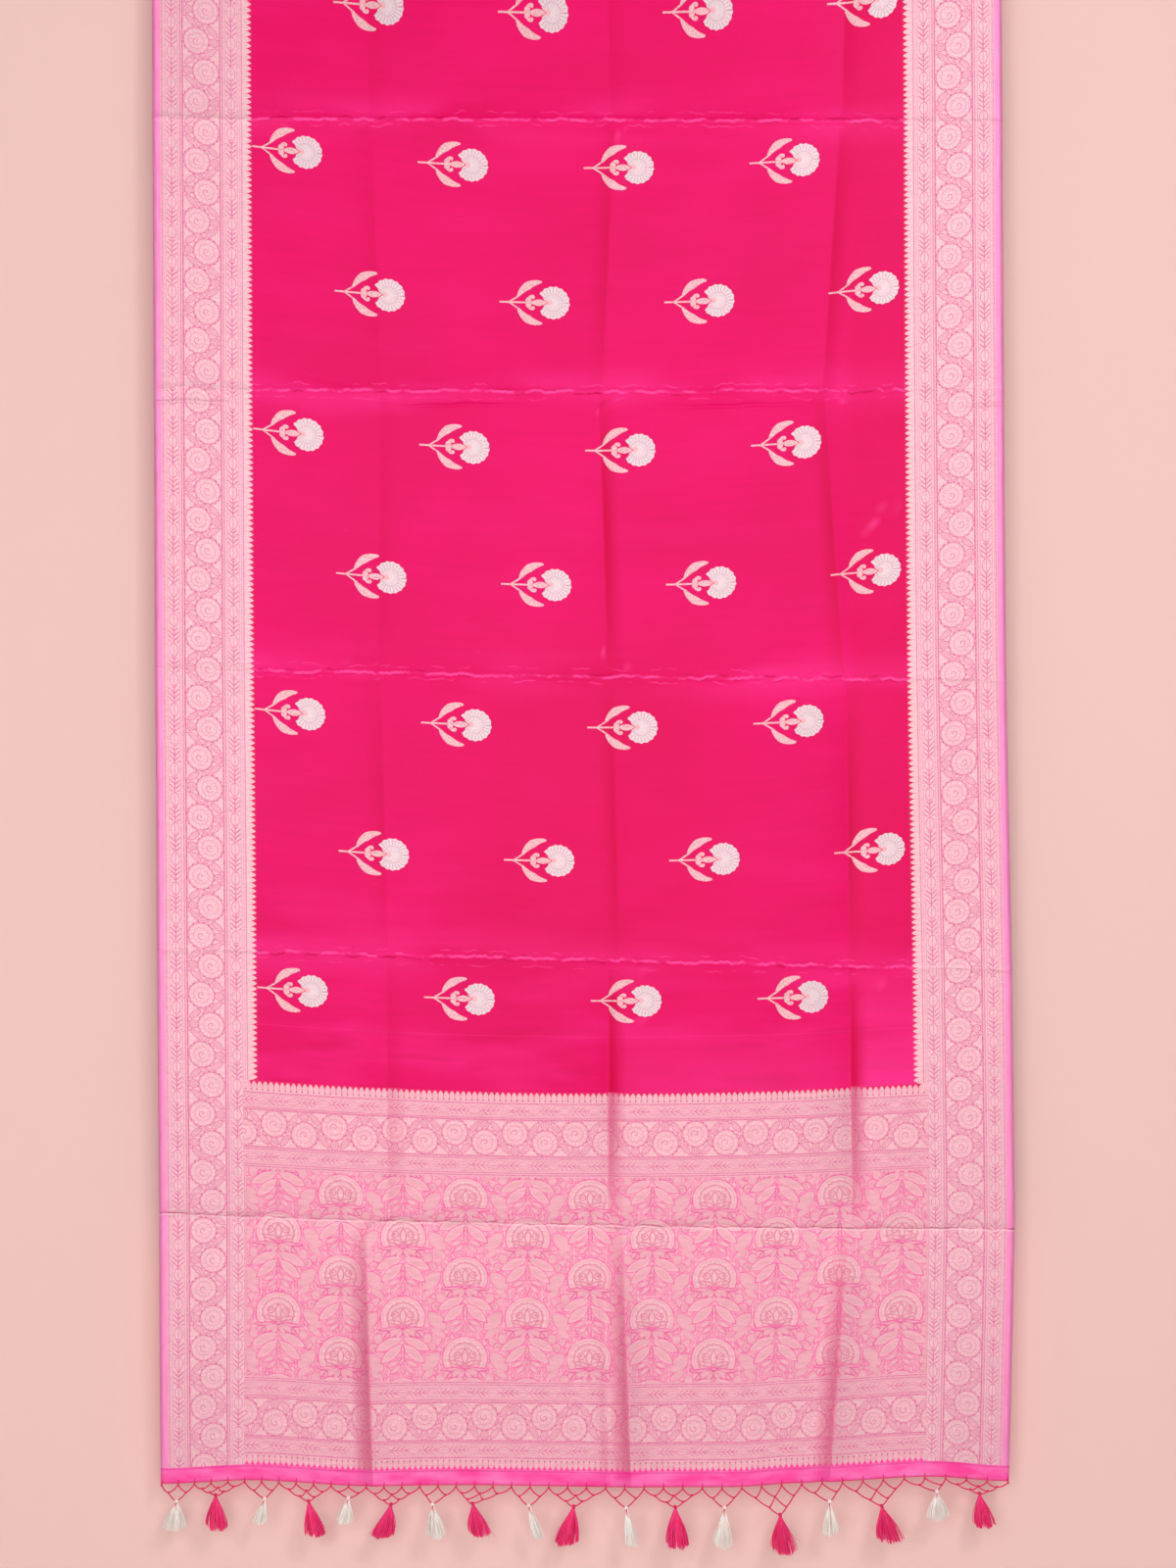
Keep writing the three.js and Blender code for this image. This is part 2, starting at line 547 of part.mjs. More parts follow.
for (let i = 0; i <= WRAP_STEPS; i++) {
  freeRows.push(i ? INNER_WRAP * Math.PI / 2 * i / WRAP_STEPS : SEAM_GAP / 2);
}
for (const d of [40, 110, 180, 250, DRIFT_LENGTH, FREE_END_LENGTH]) {
  freeRows.push(INNER_WRAP * Math.PI / 2 + d);
}

// ---------- the object ----------
const group = new THREE.Group();
group.name = 'sari_over_rod';
function add(name, geometry, colour) {
  const mesh = new THREE.Mesh(geometry, new THREE.MeshStandardMaterial({ color: colour, roughness: 0.6 }));
  mesh.name = name;
  group.add(mesh);
}

// rod: turned profile with a small chamfer at each end, its axis along X
const half = ROD_LENGTH / 2;
const rodProfile = [
  [0, -half], [ROD_RADIUS - ROD_CHAMFER, -half], [ROD_RADIUS, -half + ROD_CHAMFER],
  [ROD_RADIUS, half - ROD_CHAMFER], [ROD_RADIUS - ROD_CHAMFER, half], [0, half],
].map(([r, x]) => new THREE.Vector2(r, x));
const rod = new THREE.LatheGeometry(rodProfile, ROD_SIDES);
rod.rotateZ(-Math.PI / 2);
rod.deleteAttribute('normal');
rod.deleteAttribute('uv');
const rodClosed = mergeVertices(rod, 1e-3);
rodClosed.computeVertexNormals();
add('rod', rodClosed, '#8a6a4a');

add('front_fall', toGeometry(wall(frontPoint, frontColumns, frontRows, 1)), '#f01e6c');
add('pallu_hem', toGeometry(wall(frontPoint, frontColumns, [0, 10, HEM_BAND], 1)), '#ff3da8');
add('back_fall', toGeometry(wall(backPoint, backColumns, backRows, 1)), '#f01e6c');
add('inner_fall', toGeometry(wall(innerPoint, innerColumns, innerRows, 1)), '#e01a60');
add('free_end', toGeometry(wall(freePoint, innerColumns, freeRows, -1)), '#d2185a');
TASSELS.forEach((row, i) => {
  add(`tassel_${String(i + 1).padStart(2, '0')}`, fromManifold(tassel(i)),
    row.silk === 'white' ? '#e8dad6' : '#ee1a62');
});

export default group;
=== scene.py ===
import random
from math import ceil, cos, exp, hypot, pi, radians, sin, sqrt

import bmesh
import bpy
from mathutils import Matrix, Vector


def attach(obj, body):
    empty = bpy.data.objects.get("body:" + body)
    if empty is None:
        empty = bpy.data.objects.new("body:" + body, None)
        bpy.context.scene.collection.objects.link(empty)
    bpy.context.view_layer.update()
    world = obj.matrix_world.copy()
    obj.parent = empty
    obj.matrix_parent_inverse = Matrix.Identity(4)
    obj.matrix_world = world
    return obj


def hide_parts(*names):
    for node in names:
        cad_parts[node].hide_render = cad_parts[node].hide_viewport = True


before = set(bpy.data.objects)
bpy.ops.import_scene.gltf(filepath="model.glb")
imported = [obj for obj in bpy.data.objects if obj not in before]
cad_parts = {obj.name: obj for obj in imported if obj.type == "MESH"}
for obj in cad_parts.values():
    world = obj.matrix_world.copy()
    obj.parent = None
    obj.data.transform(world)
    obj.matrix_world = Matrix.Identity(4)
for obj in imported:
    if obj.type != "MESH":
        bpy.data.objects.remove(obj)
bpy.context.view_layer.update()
scene = bpy.context.scene
scene.view_settings.view_transform = "Standard"

# ---------------------------------------------------------------------------------------------
# The room: a camera square on to the hung sari, a warm pale backdrop close behind it, a pale
# floor well below, and large soft lamps, the strongest above and to the right.
lens = bpy.data.cameras.new("camera")
lens.lens = 67.9
lens.clip_end = 60
camera = bpy.data.objects.new("camera", lens)
camera.location = (0.0093, -4.019, -1.258)
camera.rotation_euler = (radians(90), 0, 0)
scene.collection.objects.link(camera)
scene.camera = camera


def lamp(name, place, aim, size, watts, tint):
    light = bpy.data.lights.new(name, "AREA")
    light.shape = "RECTANGLE"
    light.size, light.size_y = size
    light.energy = watts
    light.color = tint
    thing = bpy.data.objects.new(name, light)
    thing.location = place
    thing.rotation_euler = (Vector(aim) - Vector(place)).to_track_quat("-Z", "Y").to_euler()
    scene.collection.objects.link(thing)


lamp("front_panel", (-0.4, -4.7, -0.95), (-0.05, 0, -1.15), (4.6, 3.8), 153, (1.0, 0.985, 0.98))
lamp("key_lamp", (1.6, -3.3, 0.8), (0, 0, -1.1), (0.8, 0.8), 34, (1.0, 0.985, 0.97))
lamp("back_lamp", (-1.2, 3.6, 0.4), (0, 0, -1.2), (3.4, 2.8), 95, (1.0, 0.99, 0.985))

world = bpy.data.worlds.new("room")
world.use_nodes = True
world.node_tree.nodes["Background"].inputs[0].default_value = (1.0, 0.97, 0.965, 1)
world.node_tree.nodes["Background"].inputs[1].default_value = 0.22
scene.world = world


def set_inputs(node, **values):
    """Sets a shader node's inputs; an underscore stands for the space in a name."""
    for name, value in values.items():
        node.inputs[name.replace("_", " ")].default_value = value


def add_node(tree, kind, **values):
    node = tree.nodes.new("ShaderNode" + kind)
    set_inputs(node, **values)
    return node


def join(tree, *pairs):
    for output, socket in pairs:
        tree.links.new(output, socket)


def new_finish(name):
    """An empty finish with its surface shader."""
    finish = bpy.data.materials.new(name)
    finish.use_nodes = True
    return finish, finish.node_tree, finish.node_tree.nodes["Principled BSDF"]


def to_piece(name, bm, *materials):
    """Makes the finished mesh an object of the scene, with its place in the mesh."""
    mesh = bpy.data.meshes.new(name)
    bm.to_mesh(mesh)
    bm.free()
    for material in materials:
        mesh.materials.append(material)
    piece = bpy.data.objects.new(name, mesh)
    scene.collection.objects.link(piece)
    return piece


def plain_panel(name, colour, size, place, tilt, one_sided):
    bm = bmesh.new()
    bmesh.ops.create_grid(bm, x_segments=8, y_segments=8, size=0.5)
    bmesh.ops.scale(bm, vec=(*size, 1), verts=bm.verts)
    paint, tree, surface = new_finish(name)
    set_inputs(surface, Roughness=0.9, Specular_IOR_Level=0.15, Base_Color=colour)
    panel = to_piece(name, bm, paint)
    panel.location = place
    panel.rotation_euler = (tilt, 0, 0)
    if one_sided:
        # clear from behind, and the room's light still reaches the back of the cloth
        side, clear = add_node(tree, "NewGeometry"), add_node(tree, "BsdfTransparent")
        either, out = add_node(tree, "MixShader"), tree.nodes["Material Output"]
        join(tree, (side.outputs["Backfacing"], either.inputs[0]), (surface.outputs[0], either.inputs[1]),
             (clear.outputs[0], either.inputs[2]), (either.outputs[0], out.inputs[0]))
        panel.visible_shadow = panel.visible_diffuse = panel.visible_glossy = False


plain_panel("backdrop", (0.875, 0.585, 0.54, 1), (5, 3.6), (0, 0.0258, -1.0), radians(90), True)
plain_panel("floor", (0.83, 0.79, 0.77, 1), (14, 14), (0, 0, -2.8), 0, False)

# ---------------------------------------------------------------------------------------------
# The rod: a plain turned hardwood dowel, 25 mm thick and 1.3 m long, its ends lightly rounded.
# The cloth hangs over it by its own weight.
ROD_RADIUS = 0.0125
ROD_HALF = 0.65


def streaked(name, stretch, grain, dark, light, **values):
    """A finish that changes from dark to light along stretched noise; returned with that noise."""
    finish, tree, surface = new_finish(name)
    where, ramp = add_node(tree, "TexCoord"), add_node(tree, "ValToRGB")
    reach, noise = add_node(tree, "Mapping", Scale=stretch), add_node(tree, "TexNoise", **grain)
    for stop, (place, colour) in zip(ramp.color_ramp.elements, (dark, light)):
        stop.position, stop.color = place, colour
    join(tree, (where.outputs["Object"], reach.inputs[0]), (reach.outputs[0], noise.inputs[0]),
         (noise.outputs[0], ramp.inputs[0]), (ramp.outputs[0], surface.inputs["Base Color"]))
    set_inputs(surface, **values)
    return finish, noise


wood, grain = streaked("turned_wood", (4, 60, 60), {"Scale": 2.2, "Detail": 8, "Distortion": 0.6},
                       (0.32, (0.30, 0.165, 0.075, 1)), (0.7, (0.56, 0.37, 0.20, 1)),
                       Roughness=0.48, Coat_Weight=0.15)
ridge = add_node(wood.node_tree, "Bump", Distance=0.0004, Strength=0.5)
join(wood.node_tree, (grain.outputs[0], ridge.inputs["Height"]),
     (ridge.outputs[0], wood.node_tree.nodes["Principled BSDF"].inputs["Normal"]))
bm = bmesh.new()
bmesh.ops.create_cone(bm, cap_ends=True, segments=64, radius1=ROD_RADIUS, radius2=ROD_RADIUS,
                      depth=2 * ROD_HALF)
rims = [e for e in bm.edges if abs(e.verts[0].co.z - e.verts[1].co.z) < 1e-6]
bmesh.ops.bevel(bm, geom=rims, offset=0.0015, affect="EDGES", segments=4, profile=0.5, material=-1)
bmesh.ops.rotate(bm, verts=bm.verts, cent=(0, 0, 0), matrix=Vector((1, 0, 0)).rotation_difference(
    Vector((0, 0, 1))).to_matrix().inverted())
for face in bm.faces:
    face.smooth = len(face.verts) == 4
rod = to_piece("hanging_rod", bm, wood)
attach(rod, "root")
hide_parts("rod")

# ---------------------------------------------------------------------------------------------
# The front of the sari: pallu and field in one stretch, from the hem up to the top of the rod.
# Silk satin with brocade in pale zari; the hem band is plain magenta silk. Its storage folds
# still show as three creases down it and five across it.
WIDTH = 1150.0
FALL = 2206.0
OUTER_WRAP = 15.1
CREST = OUTER_WRAP * pi / 2
# the weave's zones: tips of the border's beads, border beside the pallu, hem band, jaal, field's foot
BORDER, PALLU_BORDER = 134.6, 114.2
HEM_TOP, JAAL_FOOT, JAAL_TOP, FIELD_FOOT = 20.8, 142.6, 435.4, 558
WALL = 0.0008
# how far the gentle side of a crease reaches, and how far from a pressed fold the finish paints its
# highlights and shade
GENTLE, HAND_REACH = 30, 40.0

# level below the rod's axis, left and right selvedge
EDGES = ((0, -582, 568), (357, -580, 570), (724, -578.5, 572), (1110, -576.5, 575),
         (1496, -574, 583), (1851, -571.5, 587.5), (2206, -570, 579.5))
# distance from the left selvedge, level of the hem, how far it stands out
HEM = ((0, 2206, -6), (122, 2199.4, 1.5), (277, 2207.4, -1), (399, 2206, 1.5), (612, 2208.7, -0.5),
       (774, 2208.7, 1.5), (870, 2203.4, 0), (901, 2200.8, 1), (1042, 2194.1, 3.5), (1150, 2202, -4))
# cross folds: distance up the cloth, level at left, middle, right, stand-out, sharp edge, sag
FOLDS = ((0, 2206, 2206, 2206, 0, 0, -1.5), (355, 1838.7, 1854.7, 1860, -2, -1.4, -1.2),
         (710, 1480.7, 1496.6, 1509.9, 1, 1, 1.2), (1096.5, 1100.2, 1112.1, 1116.1, 2.6, 1.3, 1.4),
         (1481.5, 722.3, 727.6, 723.6, 2.8, 1.3, 1.4), (1846.4, 357.6, 359.6, 361.6, 3, 1.3, 1),
         (2206, 0, 0, 0, 0, 0, 0))
# creases down the cloth, a row for each panel from the hem up: places at the lower and upper end,
# height, steep reach. A ridge is steep to its left, a valley steep to its right.
CREASES = (((288, 277, 9, 13), (637, 622, 10.5, 13), (905, 926, 9, 12)),
           ((309, 311, -2.2, 12), (604, 608, -7, 11), (933, 932, -8.5, 11)),
           ((311, 304, 2, 12), (622, 618, 4, 11), (932, 935, -5, 11)),
           ((302, 308, -1.6, 12), (612, 603, -5, 11), (930, 906, 4.5, 11)),
           ((306, 296, 1.6, 12), (607, 624, 3, 11), (906, 931, -4, 11)),
           ((295, 288, -1.4, 12), (621, 614, -1.6, 11), (934, 945, -2.3, 11)))
# short wrinkles: place across and up, half length, turn in degrees, height, half width
WRINKLES = ((980, 1308, 38, 37, 1.7, 3.2), (990, 1327, 24, 24, 1.2, 2.6), (898, 1266, 18, -8, 1.3, 2.6),
            (612, 1122, 22, -52, 1.9, 3), (630, 1117, 18, -56, 1.3, 2.6), (632, 1828, 15, 44, 1.4, 2.6),
            (622, 1830, 12, -35, 1.1, 2.6), (288, 1828, 16, 62, 1.3, 2.8), (967, 1832, 14, -36, 1.2, 2.6),
            (268, 1112, 22, 12, 1.1, 2.8), (900, 1100, 15, 30, 1.1, 2.6), (312, 1468, 13, -48, 1.0, 2.4),
            (606, 1462, 16, 52, 1.2, 2.6), (930, 1468, 14, -50, 1.1, 2.6), (642, 694, 22, 24, 1.4, 3),
            (960, 690, 26, -14, 1.3, 3), (1010, 668, 20, 6, 1.0, 3), (655, 640, 18, 70, 0.9, 4))


def mix(a, b, t):
    return a + (b - a) * t


def smooth(t):
    t = min(1.0, max(0.0, t))
    return t * t * (3 - 2 * t)


def row_at(table, x):
    """The row of a table that x has passed, and the share of the way to the next."""
    i = 0
    while i < len(table) - 2 and x > table[i + 1][0]:
        i += 1
    return i, min(1.0, max(0.0, (x - table[i][0]) / (table[i + 1][0] - table[i][0])))


def read(table, x, column, soft=False):
    """Reads a table at x, straight or along a soft curve between its rows."""
    i, t = row_at(table, x)
    return mix(table[i][column], table[i + 1][column], smooth(t) if soft else t)


def turned(x, y, turn):
    """x and y measured along and across a line turned by so many degrees."""
    c, s = cos(radians(turn)), sin(radians(turn))
    return x * c + y * s, y * c - x * s


def crease_at(k, p, t, v):
    here = mix(CREASES[p][k][0], CREASES[p][k][1], t)
    up, down, jog = FOLDS[p + 1][0] - v, v - FOLDS[p][0], 16
    if up < jog and p < len(CREASES) - 1:
        return mix((CREASES[p][k][1] + CREASES[p + 1][k][0]) / 2, here, up / jog)
    if down < jog and p > 0:
        return mix((CREASES[p][k][0] + CREASES[p - 1][k][1]) / 2, here, down / jog)
    return here


def swell_at(p, t):
    """How full a crease is at the share t of its panel; it is fullest at the hem."""
    return sqrt(max(0.0, sin(t * pi) if p else cos(t * pi / 2)))


def drop_at(u, v):
    """Level below the rod's axis of the point u across and v up the cloth."""
    p, t = row_at(FOLDS, v)
    s = u / WIDTH

    def level(fold):
        return fold[1] * (1 - s) * (1 - 2 * s) + fold[2] * 4 * s * (1 - s) + fold[3] * s * (2 * s - 1)
    low = read(HEM, u, 1, True) if p == 0 else level(FOLDS[p])
    return mix(low, level(FOLDS[p + 1]), t)


def relief_at(u, v):
    """How far the cloth stands out in front of its plain hang."""
    p, t = row_at(FOLDS, v)
    out = mix(FOLDS[p][4], FOLDS[p + 1][4], t) - FOLDS[p][6] * 4 * t * (1 - t)
    for k, fold in enumerate(FOLDS[1:-1]):
        # the sharp edge of a fold is crinkled: it wanders a little and comes and goes
        d = v - fold[0]
        if abs(d) < 60:
            lift = 0.55 + 0.4 * sin(u / 47 + 1.9 * k) + 0.35 * sin(u / 15.3 + 2.3 * k)
            d += 1.5 * sin(u / 31 + k) + 0.9 * sin(u / 8.7 + 2 * k)
            crisp = (0.8 if k == 0 else 0.25) * max(0.0, lift)
            out += fold[5] * (exp(-abs(d) / 6) + crisp * exp(-(d / 1.9) ** 2))
            out -= fold[5] * 0.5 * crisp * exp(-((d + 4.6) / 2.3) ** 2)
            if k == 3:
                out += 1.2 * max(0.0, 0.4 + sin(u / 60 + 1)) * exp(-((d + 19) / 2.0) ** 2)
    for k in range(3):
        d = u - crease_at(k, p, t, v)
        height, steep = CREASES[p][k][2:]
        height *= swell_at(p, t) * mix(0.5, 1, smooth(v / 70))
        reach = steep if d * height < 0 else GENTLE
        # the crest itself is a little rounded
        d = sqrt(d * d + 2.6) - 1.2
        out += height * exp(-d / reach)
        if k == 1 and p == 0:
            d = hypot(u - crease_at(k, p, t, v) + 30, 1.5)
            out += 0.43 * height * exp(-d / (8 if u < 606 else 11)) * (1 - t) ** 0.7
    if p == 0:
        out += read(HEM, u, 2, True) * (1 - t) * (1 - t)
    for a, b, reach, turn, height, wide in WRINKLES:
        if abs(u - a) < 60 and abs(v - b) < 60:
            along, across = turned(u - a, v - b, turn)
            across += 1.2 * sin(along / 7)
            if abs(along) < reach:
                out += height * (1 - (along / reach) ** 2) * exp(-(across / wide) ** 2)
    out += 0.45 * sin(u / 61 + v / 210) * sin(v / 83 - u / 300)
    return out


def front_point(u, v):
    if v >= FALL:
        turn = (v - FALL) / OUTER_WRAP
        return (mix(EDGES[0][1], EDGES[0][2], u / WIDTH), -OUTER_WRAP * cos(turn),
                OUTER_WRAP * sin(turn))
    drop = drop_at(u, v)
    x = mix(read(EDGES, drop, 1), read(EDGES, drop, 2), u / WIDTH)
    return x, -OUTER_WRAP - relief_at(u, v) * smooth(drop / 140), -drop


# how far the picks sag in the middle of the cloth, by their distance up it
PICK_SAG = ((0, 8), (560, 25), (684, 27), (880, 37), (1068, 39), (1265, 46), (1831, 46), (2206, 44))


def weft_at(u, v):
    """Which pick of the weave lies at u, v."""
    if v >= FALL:
        return v
    drop, s, pick = drop_at(u, v), u / WIDTH, v
    for _ in range(3):
        sag = read(PICK_SAG, pick, 1) * 4 * s * (1 - s) + 7 * s * smooth(pick / 700)
        low = read(HEM, u, 1, True) - FALL
        pick = FALL - drop + mix(low, sag, smooth(pick / 560))
    return mix(pick, v, smooth((v - FALL + 300) / 300)) if v > FALL - 300 else pick


# rows of the grid that run with the picks (1) or with the folds (0)
ROWS_ON_PICKS = ((0, 1), (JAAL_FOOT, 1), (342, 0), (364, 0), (JAAL_TOP, 1), (FIELD_FOOT, 1), (698, 0),
                 (2300, 0))
# where the grid's close columns lie before they follow the creases
CREASE_HOME = (292, 620, 924)
CLOSE = (-34, -25, -18, -13, -9.5, -6.5, -4, -2, 0, 2, 4.5, 8, 12, 17, 24)


def settle(u, row):
    """Place up the cloth of a grid row at u."""
    share = read(ROWS_ON_PICKS, row, 1)
    v = row
    for _ in range(5 if share else 0):
        v += row - weft_at(u, v)
    return mix(row, v, share)


def slide(u, v):
    """Place across the cloth of a grid column at v: the close columns follow the creases."""
    p, t = row_at(FOLDS, min(v, FALL))
    for k, home in enumerate(CREASE_HOME):
        near = 1 - max(0.0, abs(u - home) - 34) / 50
        if near > 0:
            return u + near * (crease_at(k, p, t, v) - home) * smooth((FALL - v) / 60)
    return u


def fold_side(v):
    """Place against the nearest pressed fold, 0.5 on it and 40 mm to 0 or 1, each fold turned about."""
    side = 0.0
    for k, fold in enumerate(FOLDS[1:-1]):
        d = v - fold[0]
        side = max(-HAND_REACH, min(HAND_REACH, d)) / (2 * HAND_REACH) * (-1) ** k + 0.5
        if d < 200:
            return side
    return side


def wrinkle_highlight(u, v):
    """How bright the painted highlight on a short wrinkle is at u, v."""
    wrinkle_glint = 0.0
    for a, b, reach, turn, height, _ in WRINKLES:
        if abs(u - a) < reach and abs(v - b) < reach:
            along, across = turned(u - a, v - b, turn)
            wrinkle_glint = max(wrinkle_glint, 0.4 * height * (1 - (along / reach) ** 2) * exp(-(across / 1.8) ** 2))
    return wrinkle_glint


def crease_shade_share(u, v):
    """How much painted shade lies at u, v: on the steep flank of a crease."""
    if v >= FALL:
        return 0.0
    p, t = row_at(FOLDS, v)
    most = 0.0
    for k in range(3):
        d = u - crease_at(k, p, t, v)
        height, steep = CREASES[p][k][2:]
        flank = steep * 1.7 if d * height < 0 else 2.0
        if abs(d) < flank:
            most = max(most, min(1.0, abs(height) / 5) * swell_at(p, t) * (1 - abs(d) / flank) ** 0.45)
    if p == 0:
        d = u - crease_at(1, p, t, v) + 30
        if -13 < d < 2:
            most = max(most, 0.75 * (1 - t) * (1 + d / 13 if d < 0 else 1 - d / 2))
    return most


def lay_cloth(point, weft, across, along, zone, fold_light_of, settle=lambda u, row: row, slide=lambda u, v: u):
    """Lays a grid of cloth over point(u, v), millimetres, with its weave coordinates in metres."""
    bm = bmesh.new()
    bmesh.ops.create_grid(bm, x_segments=len(across) - 1, y_segments=len(along) - 1, size=0.5)
    uv = bm.loops.layers.uv.new("UVMap")
    # the second layer holds the place against the nearest fold, and the share of painted crease shade, below
    # 0 the painted wrinkle highlight
    hand = bm.loops.layers.uv.new("FoldShadeGlint")
    place = {}
    for vert in bm.verts:
        column = across[round((vert.co.x + 0.5) * (len(across) - 1))]
        row = along[round((vert.co.y + 0.5) * (len(along) - 1))]
        u = slide(column, row)
        v = settle(u, row)
        place[vert] = (u, v, weft(u, v), row, column)
    for vert, where in place.items():
        vert.co = [0.001 * c for c in point(*where[:2])]
    for face in bm.faces:
        us = [place[vert][4] for vert in face.verts]
        vs = [place[vert][3] for vert in face.verts]
        face.material_index = zone((min(us) + max(us)) / 2, (min(vs) + max(vs)) / 2)
        face.smooth = True
        for loop in face.loops:
            loop[uv].uv = (place[loop.vert][0] / 1000, place[loop.vert][2] / 1000)
            loop[hand].uv = fold_light_of(*place[loop.vert][:2])
    return bm


def grid_lines(*stretches):
    """Lines of a grid over stretches of start, end and pitch; where pitch is 0, the close lines at
    a crease."""
    lines = []
    for start, end, pitch in stretches:
        if pitch:
            n = max(1, round((end - start) / pitch))
            lines += [start + (end - start) * i / n for i in range(n)]
        else:
            lines += [start + d for d in CLOSE]
    return lines + [stretches[-1][1]]


# ---- weaving drafts: patterns worked out from the place on the cloth, as shader nodes ----
def draft_node(kind, *feeds, operation=None, **values):
    """A node of the draft at hand, its inputs fed in order by drafts, sockets or plain values."""
    node = add_node(Draft.tree, kind, **values)
    if operation:
        node.operation = operation
    for socket, feed in zip(node.inputs, feeds):
        feed = getattr(feed, "out", feed)
        if isinstance(feed, bpy.types.NodeSocket):
            Draft.tree.links.new(feed, socket)
        else:
            socket.default_value = feed
    return node


class Draft:
    """A value on the cloth, kept as the output of a node; it adds and multiplies like a number.
    The class also holds the silk at hand: its finish, nodes and shader, and the place on it."""
    finish = tree = surface = place = u = v = None

    def __init__(self, out):
        self.out = out

    def by(self, kind, *others):
        return Draft(draft_node("Math", self, *others, operation=kind).outputs[0])

    def __add__(self, x):
        return self.by("ADD", x)

    def __sub__(self, x):
        return self.by("SUBTRACT", x)

    def __mul__(self, x):
        return self.by("MULTIPLY", x)

    def rest(self):
        """What is left of 1."""
        return self * -1 + 1

    def around(self, pitch, start=0.0):
        """Distance to the nearest of a row of places, one every pitch."""
        return (self - start).by("WRAP", pitch / 2, -pitch / 2)

    def every(self, pitch):
        """0 and 1 in turn, one stretch of pitch each."""
        return (self * (1 / pitch)).by("FLOOR").by("FLOORED_MODULO", 2.0)

    def size(self):
        return self.by("ABSOLUTE")

    def sine(self):
        return self.by("SINE")

    def high(self, *others):
        """The largest of this and the others."""
        return self if not others else self.by("MAXIMUM", others[0]).high(*others[1:])

    def low(self, *others):
        """The least of this and the others."""
        return self if not others else self.by("MINIMUM", others[0]).low(*others[1:])

    def fade(self, one, none):
        """1 at one, 0 at none, even between them."""
        return Draft(draft_node("MapRange", self, none, one).outputs[0])

    def near(self, one, none):
        """1 up to one from 0, 0 beyond none."""
        return self.size().fade(one, none)

    def line(self, width, soft=0.8):
        """A drawn line where this is 0."""
        return self.near(width / 2, width / 2 + soft)

    def lines(self, *rows):
        """Drawn lines, from rows of place, width and strength."""
        drawn = [(self - place).line(width) * share for place, width, share in rows]
        return drawn[0].high(*drawn[1:])


class Spot:
    """A place in the plane of the cloth, in millimetres."""

    def __init__(self, x, y):
        self.x, self.y = x, y
        self.out = draft_node("CombineXYZ", x, y).outputs[0]

    def far(self, x, y):
        return Draft(draft_node("VectorMath", self, (x, y, 0), operation="DISTANCE").outputs["Value"])

    def leaf(self, ax, ay, bx, by, wide):
        """Distance outside a pointed leaf from a to b, wide across: where two rounds overlap."""
        dx, dy = bx - ax, by - ay
        long = hypot(dx, dy)
        radius = (long * long + wide * wide) / (4 * wide)
        off = (radius - wide / 2) / long
        cx, cy = (ax + bx) / 2, (ay + by) / 2
        one = self.far(cx - dy * off, cy + dx * off)
        other = self.far(cx + dy * off, cy - dx * off)
        return one.high(other) - radius

    def shape(self, *rows):
        """Distance outside a figure of leaves (ax, ay, bx, by, wide) and rounds (x, y, radius)."""
        outside = [self.leaf(*row) if len(row) == 5 else self.far(*row[:2]) - row[2] for row in rows]
        return outside[0].low(*outside[1:])

    def turn(self):
        return self.y.by("ARCTAN2", self.x)


def woven_place(layer):
    """The two coordinates of a layer, and both together."""
    where = draft_node("UVMap")
    where.uv_map = layer
    split = draft_node("SeparateXYZ", where.outputs[0])
    return Draft(split.outputs[0]), Draft(split.outputs[1]), where.outputs[0]


def fold_and_painted_light():
    """Millimetres from the nearest pressed fold, and the shares of painted shade on the creases' flanks and
    of painted highlight on the wrinkles.
    """
    fold, share, _ = woven_place("FoldShadeGlint")
    return (fold - 0.5) * (2 * HAND_REACH), share.high(0.0), (share * -1).high(0.0)


def new_silk(name):
    """Begins a silk; returns millimetres from the left selvedge and from the hem."""
    Draft.finish, Draft.tree, Draft.surface = new_finish(name)
    u, v, Draft.place = woven_place("UVMap")
    Draft.u, Draft.v = u * 1000, v * 1000
    return Draft.u, Draft.v


def inward_of(u):
    """Distance from the nearer selvedge."""
    return (u - WIDTH / 2).size() * -1 + WIDTH / 2


def grainy(scale, stretch, detail=2.0, place=None):
    """Soft noise on the cloth, stretched along or across it."""
    reach = draft_node("Mapping", place or Draft.place, Scale=stretch)
    return Draft(draft_node("TexNoise", reach.outputs[0], Scale=scale, Detail=detail).outputs[0])


def dye(colour):
    """sRGB 0-255 to the shader's own scale."""
    return tuple(((c / 255 + 0.055) / 1.055) ** 2.4 if c > 10 else c / 3295 for c in colour) + (1,)


def blend(share, under, over):
    node = draft_node("Mix", share)
    node.data_type = "RGBA"
    for x, socket in ((under, node.inputs[6]), (over, node.inputs[7])):
        if isinstance(x, tuple):
            socket.default_value = dye(x)
        else:
            Draft.tree.links.new(x, socket)
    return node.outputs[2]


def dyed(colour, *layers):
    """Lays tones over a colour, from rows of share and tone."""
    for share, tone in layers:
        colour = blend(share, colour, tone)
    return colour


def silk(colour, zari=None, rough=0.45, crinkle=0.35, glint=(1.0, 0.2, 0.6)):
    """Finishes a silk: its lustre, its crinkled hand and its fine rib, with zari a little metallic."""
    surface = Draft.surface
    set_inputs(surface, Roughness=rough, Specular_IOR_Level=0.42, Specular_Tint=(*glint, 1))
    relief = grainy(24, (1, 0.6, 1), 3) + grainy(520, (0.25, 1, 1), 1) * 0.1
    bump = add_node(Draft.tree, "Bump", Strength=crinkle, Distance=0.002)
    join(Draft.tree, (colour, surface.inputs["Base Color"]), (relief.out, bump.inputs["Height"]),
         (bump.outputs[0], surface.inputs["Normal"]))
    if zari is not None:
        Draft.tree.links.new((zari * 0.24).out, surface.inputs["Metallic"])
    return Draft.finish


